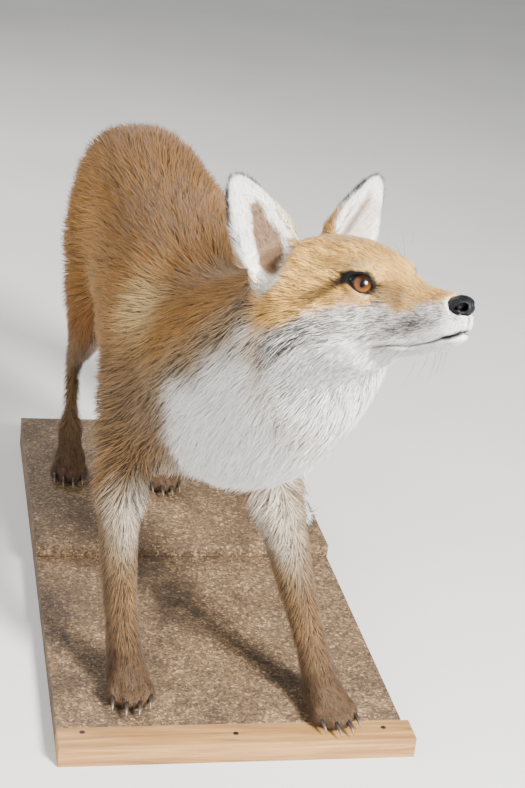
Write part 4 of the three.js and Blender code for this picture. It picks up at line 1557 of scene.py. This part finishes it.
def tuft_mesh(title, spine, wide, normal, tones, spots):
    """A piece of the coat from the spines, half widths, colours and unwrap places of its locks."""
    rings = len(spine) - 1
    count = len(spine[0])
    size = rings * 3 + 1
    points = np.empty((count, size, 3))
    shades = np.ones((count, size, 4))
    patch_place = np.empty((count, size, 2))
    for ring in range(rings):
        ahead = unit(spine[ring + 1] - spine[ring])
        side = unit(np.cross(normal, ahead))
        rise = np.cross(ahead, side)
        for corner in range(3):
            turn = math.radians(90 + 120 * corner)
            reach = (wide * PROFILE[rings - 1][ring])[:, None]
            points[:, ring * 3 + corner] = spine[ring] + reach * (
                math.cos(turn) * side + FLATTENING * math.sin(turn) * rise)
            shades[:, ring * 3 + corner, :3] = tones[ring]
            patch_place[:, ring * 3 + corner] = spots + PATCH * np.array([corner / 2, ring / (rings + 1)])
    points[:, -1] = spine[-1]
    shades[:, -1, :3] = tones[-1]
    patch_place[:, -1] = spots + PATCH * np.array([0.5, 1.0])
    pattern = [(0, 2, 1)]
    for ring in range(rings - 1):
        for corner in range(3):
            a, b = ring * 3 + corner, ring * 3 + (corner + 1) % 3
            pattern += [(a, b, b + 3), (a, b + 3, a + 3)]
    last = (rings - 1) * 3
    pattern += [(last + c, last + (c + 1) % 3, size - 1) for c in range(3)]
    pattern = np.array(pattern, np.int32)
    faces = (pattern[None] + (np.arange(count, dtype=np.int32) * size)[:, None, None]).reshape(-1, 3)
    mesh = bpy.data.meshes.new(title)
    mesh.vertices.add(count * size)
    mesh.vertices.foreach_set("co", points.astype(np.float32).ravel())
    mesh.loops.add(faces.size)
    mesh.loops.foreach_set("vertex_index", faces.ravel())
    mesh.polygons.add(len(faces))
    mesh.polygons.foreach_set("loop_start", np.arange(0, faces.size, 3, dtype=np.int32))
    mesh.polygons.foreach_set("use_smooth", np.ones(len(faces), bool))
    layer = mesh.uv_layers.new(name="OFBake")
    flat = patch_place.reshape(-1, 2)[faces.ravel()].astype(np.float32)
    layer.data.foreach_set("uv", flat.ravel())
    paint_points(mesh, "Coat", "FLOAT_COLOR", shades)
    mesh.update(calc_edges=True)
    own = coordinates_of(mesh, "normal")
    blended = unit(own * (1 - NORMAL_SHARE) + np.repeat(normal, size, axis=0) * NORMAL_SHARE)
    mesh.normals_split_custom_set_from_vertices(blended.tolist())
    piece = new_piece(title, mesh)
    piece.data.materials.append(fur)
    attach(piece, "root")
    coat_pieces.append((title, count, len(faces)))
    return piece


# %% [markdown]
# Fur scatters light inside itself, so it looks soft and a little bright at grazing angles: a rough
# surface with some sheen does that. The skin wears the same material. The colour comes from the painted
# attribute, and a fine noise sets neighbouring hairs apart.

# %% Fur material
fur, tree, shader = new_material("fox_fur", 0.66, Sheen_Weight=0.05, Sheen_Roughness=0.45,
                                 Specular_IOR_Level=0.2)
tint = painted(tree, "Coat").outputs["Color"]
strands = noise(tree, 0.9 * MM)
shade = colour_ramp(tree, strands.outputs["Fac"], [(0.3, "D8D4D0"), (0.7, "FFFFFF")])
set_colour(tree, shader, mixed_colour(tree, 1.0, tint, shade, "MULTIPLY"))

# %% [markdown]
# The coat grows part by part, each part in pieces that stay small enough to handle. Short hair and long
# hair of the face part along a ragged line, and the trunk has bent locks among its straight ones.

# %% Growing the coat
LONG_HAIR = 11  # millimetres
TRUNK_MIDDLE, BELLY_LINE = -0.03, -0.12  # metres: where the trunk's pieces meet, across and along
face_length = length[triangles].mean(1) + 2.5 * wave(middles, 12, 21)
of_face = faces_of("head", "lower_jaw")
right_half = on_head(middles)[:, 0] < 0
for name, half in (("right", right_half), ("left", ~right_half)):
    short = of_face & half & (face_length < LONG_HAIR)
    grow(f"coat_face_{name}", short, 1.0, 0, clump=0.22, clump_size=6, stray=0.10)
    long = of_face & half & (face_length >= LONG_HAIR)
    grow(f"coat_cheek_{name}", long, 0.85, 1, clump=0.3, clump_size=8, stray=0.11)
grow("coat_ears", of_ears, 1.0, 0, clump=0.2, clump_size=5, stray=0.2, cling=0.5,
     root_colour=True)
of_neck = faces_of("neck")
right_neck = middles[:, 0] < np.median(middles[of_neck, 0])
for name, half in (("right", right_neck), ("left", ~right_neck)):
    grow(f"coat_neck_{name}", of_neck & half, 1.0, 1, cling=0.7, clump_size=10)
front_trunk = middles[:, 1] < BELLY_LINE
right_trunk = middles[:, 0] < TRUNK_MIDDLE
for end, at_end in (("front", front_trunk), ("back", ~front_trunk)):
    for name, half in (("right", right_trunk), ("left", ~right_trunk)):
        chosen = faces_of("trunk") & at_end & half
        title = f"coat_trunk_{end}_{name}"
        grow(title, chosen, 0.7, 0, clump=0.26, clump_size=8, lift_scale=0.9)
        grow(title + "_curls", chosen, 0.3, 1, clump=0.3, clump_size=8)
for end in ("fore", "hind"):
    legs = faces_of(*(f"{side}_{end}{limb}" for side in SIDES for limb in ("leg", "paw")))
    grow(f"coat_{end}legs", legs, 1.0, 0, clump=0.3, clump_size=7)
grow("coat_tail", faces_of(*TAIL), 1.0, 1, cling=0.5, clump=0.35, clump_size=12, stray=0.10)
for title, count, faces in coat_pieces:
    print(title, count, "locks,", faces, "triangles")
print("coat in all:", sum(faces for _, _, faces in coat_pieces), "triangles")

# %% [markdown]
# Whiskers stand in rows on the upper lip, with a few below the chin and over the eyes. Each one is a
# thin tapering rod: a ring of points carried along a bent line, finer at every step.

# %% Whiskers and brow hairs
def rod(path, radii, ring=5):
    """Rings of points along a path, as loops for a closed mesh."""
    path = np.asarray(path, float)
    ahead = unit(np.gradient(path, axis=0))
    side = unit(np.cross(ahead, (0.3, 0.5, 0.81)))
    over = np.cross(ahead, side)
    turn = np.arange(ring) * 2 * math.pi / ring
    return [[place + radius * (math.cos(t) * across + math.sin(t) * up) for t in turn]
            for place, radius, across, up in zip(path, radii, side, over)]


WHISKER_STEPS = 7


def whisker(root, way, bend, size, thickness):
    """A bent hair on the head: root and directions on the head in millimetres."""
    stops = np.linspace(0, 1, WHISKER_STEPS)[:, None]
    way, bend = unit(np.array(way, float)), np.array(bend, float)
    on_skin = skin_tree.find_nearest(Vector(from_head([root])[0]))[0]
    line = np.array(on_skin) + head_direction(way * (stops * size) + bend * stops ** 2 * size) * MM
    radii = thickness / 2 * MM * np.linspace(1, 0.12, WHISKER_STEPS)
    return closed_loops("whisker", rod(line, radii), wrap_rings=False)


whiskers = []
for sign in (-1, 1):
    for row, column in ((0, 0), (0, 1), (0, 2), (1, 0), (1, 1), (1, 2)):  # on the upper lip
        root = (sign * (15 + column * 0.9), -46 + 7 * column, -26 - 4.2 * row)
        way = (sign * 0.75, 0.5 - 0.1 * column, -0.35 - 0.35 * row)
        size = (22, 30, 36)[column] * chance.uniform(0.85, 1.15)
        whiskers.append(whisker(root, way, (0, 0.45, -0.25), size, 0.34))
    for k in range(3):  # below the chin
        root = (sign * (4 + 3 * k), -44 + 6 * k, -46)
        whiskers.append(whisker(root, (sign * 0.2, 0.25, -1), (0, 0.35, 0.05), 17 + 5 * k, 0.26))
    for k in range(3):  # over the eye
        root = (sign * (20 + 4 * k), -8 + 4 * k, 14)
        way = (sign * (0.1 + 0.25 * k), 0.5 - 0.5 * k, 1)
        whiskers.append(whisker(root, way, (0, 0.3, 0), 20 + 4 * k, 0.24))
whiskers = joined("whiskers", whiskers)
hair, tree, shader = new_material("dark_whisker_hair", 0.4)
bands = noise(tree, 9 * MM)
set_colour(tree, shader, colour_ramp(tree, bands.outputs["Fac"], [(0.45, "1A1512"), (0.65, "8E867C")]))
whiskers.data.materials.append(hair)
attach(whiskers, "root")
print("whiskers and brow hairs:", len(whiskers.data.polygons), "faces")

# %% [markdown]
# Claws are horn: dark at the base, paler towards the tip, bent down and drawn to a
# blunt point. Each is carried out as a tapering rod along a bent path inside the box of its solid.

# %% Claws
CLAW_STEPS, CLAW_RING = 9, 12
CLAW_RADIUS = 2.0
CLAW_DROP = (0.6, 5.0)  # millimetres down at the tip: straight, and by the bend


def claw(name):
    """A tapering hook that starts inside the toe and ends at the front of its solid's box."""
    low, high = (np.array(corner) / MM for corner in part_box(name))
    middle, reach = (low + high) / 2, high[1] - low[1]
    turn = math.radians(TOE_TURN[name.rsplit("_", 2)[0]])
    ahead = np.array((math.sin(turn), -math.cos(turn), 0))
    base = np.array((middle[0], high[1], high[2] - 3.4)) - ahead * 2.0
    down = np.array((0, 0, 1))
    stops = np.linspace(0, 1, CLAW_STEPS)
    drop = CLAW_DROP[0] * stops + CLAW_DROP[1] * stops ** 2.4
    path = [base + ahead * (reach * 1.02 * t) - down * fall for t, fall in zip(stops, drop)]
    radii = CLAW_RADIUS * (1 - stops ** 2.0 * 0.88)
    loops = rod(np.array(path) * MM, radii * MM, ring=CLAW_RING)
    piece = closed_loops(name, loops, wrap_rings=False)
    paint_points(piece.data, "along", "FLOAT", np.repeat(stops, CLAW_RING))
    return piece


claw_names = sorted(name for name in nodes if "_claw_" in name)
claws = joined("claws", [claw(name) for name in claw_names])
horn, tree, shader = new_material("claw_horn", 0.36)
along = painted(tree, "along")
scratches = noise(tree, 1.5 * MM, detail=3.0)
tone = add_node(tree, "ShaderNodeMath", {"operation": "MULTIPLY_ADD", 1: 0.35},
                {0: scratches.outputs["Fac"], 2: along.outputs["Fac"]})
horn_ramp = [(0.25, "1B1511"), (0.75, "352A21"), (0.95, "62523F")]
set_colour(tree, shader, colour_ramp(tree, tone.outputs["Value"], horn_ramp))
claws.data.materials.append(horn)
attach(claws, "root")
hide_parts(*claw_names)
print("claws:", len(claw_names))

# %% [markdown]
# ## The boards
# The fox stands on a panel of speckled chipboard, with a strip of pine nailed along the front edge and a
# second board over the rear half. Sawn edges are never sharp, so each board is a box with a small bevel.

# %% Boards
def board(name, bevel):
    """A box in the place of a board's solid, with its edges bevelled by some millimetres."""
    low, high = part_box(name)
    bpy.ops.mesh.primitive_cube_add(size=1)
    piece = bpy.context.object
    piece.name = piece.data.name = name + "_wood"
    piece.data.transform(Matrix.Translation((low + high) / 2) @ Matrix.Diagonal((*(high - low), 1)))
    apply_modifier(piece, "BEVEL", width=bevel * MM, segments=2)
    activate(piece)
    bpy.ops.object.shade_smooth_by_angle(angle=math.radians(35))
    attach(piece, "root")
    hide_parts(name)
    return piece


panel = board("base_panel", 0.8)
rear_board = board("base_rear_board", 0.8)
batten = board("base_front_batten", 0.6)


def chipboard(title, stops, dirt):
    """Pressed flakes 2 to 8 mm long, each with a brown of its own, under a film of dirt."""
    material, tree, shader = new_material(title, 0.72)
    warp = noise(tree, 2.5 * MM, detail=3.0)
    shift = add_node(tree, "ShaderNodeVectorMath", {"operation": "MULTIPLY_ADD", 1: [1.2 * MM] * 3},
                     {0: warp.outputs["Color"], 2: object_places(tree)})
    flakes = add_node(tree, "ShaderNodeTexVoronoi", {"Scale": 1 / (1.9 * MM)},
                      {"Vector": shift.outputs["Vector"]})
    grey = add_node(tree, "ShaderNodeSeparateXYZ", links={"Vector": flakes.outputs["Color"]})
    browns = colour_ramp(tree, grey.outputs["X"], stops)
    grime = noise(tree, 45 * MM, detail=5.0, Roughness=0.6)
    film = colour_ramp(tree, grime.outputs["Fac"], [(0.35, dirt), (0.62, "FFFFFF")])
    fibres = noise(tree, 0.8 * MM, detail=3.0, Roughness=0.7)
    dust = colour_ramp(tree, fibres.outputs["Fac"], [(0.34, "8C857C"), (0.62, "FFFFFF")])
    worn = mixed_colour(tree, 0.7, browns, dust, "MULTIPLY")
    set_colour(tree, shader, mixed_colour(tree, 0.8, worn, film, "MULTIPLY"))
    set_bump(tree, shader, grey.outputs["X"], 0.35, 0.25 * MM)
    return material


BROWN_FLAKES = [(0.0, "4A3826"), (0.35, "665038"), (0.7, "7C6345"), (0.92, "957A57"), (1.0, "B59A74")]
panel.data.materials.append(chipboard("brown_chipboard", BROWN_FLAKES, "8A8078"))
rear_board.data.materials.append(chipboard("brown_chipboard_rear", BROWN_FLAKES, "A89C90"))
print("chipboard on both boards")

# %% [markdown]
# Pine shows long thin lines along the strip, so its noise is stretched: about 110 mm long and 6 mm wide.
# Three dull nail heads hold the strip, flush with its top.

# %% The pine strip and its nails
GRAIN_SCALE = (9, 170, 170)  # per metre, along the strip and across it
NAIL_PLACES = ((-120.5, -267.5), (0, -274), (122, -271))
NAIL_RADIUS, NAIL_DEPTH, NAIL_HEIGHT = 2.2, 1.2, 17.8  # millimetres
pine, tree, shader = new_material("sawn_pine", 0.62)
stretched = add_node(tree, "ShaderNodeVectorMath", {"operation": "MULTIPLY", 1: GRAIN_SCALE},
                     {0: object_places(tree)})
grain = add_node(tree, "ShaderNodeTexNoise",
                 {"Scale": 1.0, "Detail": 6.0, "Roughness": 0.65, "Distortion": 0.6},
                 {"Vector": stretched.outputs["Vector"]})
pine_ramp = [(0.25, "664526"), (0.5, "99703F"), (0.75, "B78E5C")]
set_colour(tree, shader, colour_ramp(tree, grain.outputs["Fac"], pine_ramp))
set_bump(tree, shader, grain.outputs["Fac"], 0.4, 0.3 * MM)
batten.data.materials.append(pine)

nails = []
for x_place, y_place in NAIL_PLACES:
    bpy.ops.mesh.primitive_cylinder_add(vertices=20, radius=NAIL_RADIUS * MM, depth=NAIL_DEPTH * MM)
    nail = bpy.context.object
    nail.data.transform(Matrix.Translation(Vector((x_place, y_place, NAIL_HEIGHT)) * MM))
    apply_modifier(nail, "BEVEL", width=0.3 * MM, segments=2)
    nails.append(nail)
nails = joined("nail_heads", nails)
steel, tree, shader = new_material("dull_steel_nail", 0.45, Metallic=1.0)
rust = noise(tree, 1.5 * MM)
set_colour(tree, shader, colour_ramp(tree, rust.outputs["Fac"], [(0.4, "4C4642"), (0.65, "6E6863")]))
nails.data.materials.append(steel)
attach(nails, "root")
print("boards and nails ready")

# %% [markdown]
# The skin gets the colours of the coat, a little darker, as little light reaches it between the locks.
# It takes the place of all the solids of flesh.

# %% Skin material and place in the frame
UNDER_SHADE = 0.8
under = np.ones((len(places), 4))
under[:, :3] = colour * (UNDER_SHADE + 0.15 * smooth_step(colour.min(1), 0.35, 0.75))[:, None]
under[bare > 0.3, :3] = colour[bare > 0.3]
paint_points(skin.data, "Coat", "FLOAT_COLOR", under)
skin.data.materials.append(fur)
activate(skin)
bpy.ops.object.shade_smooth()
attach(skin, "root")
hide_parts(*FLESH)
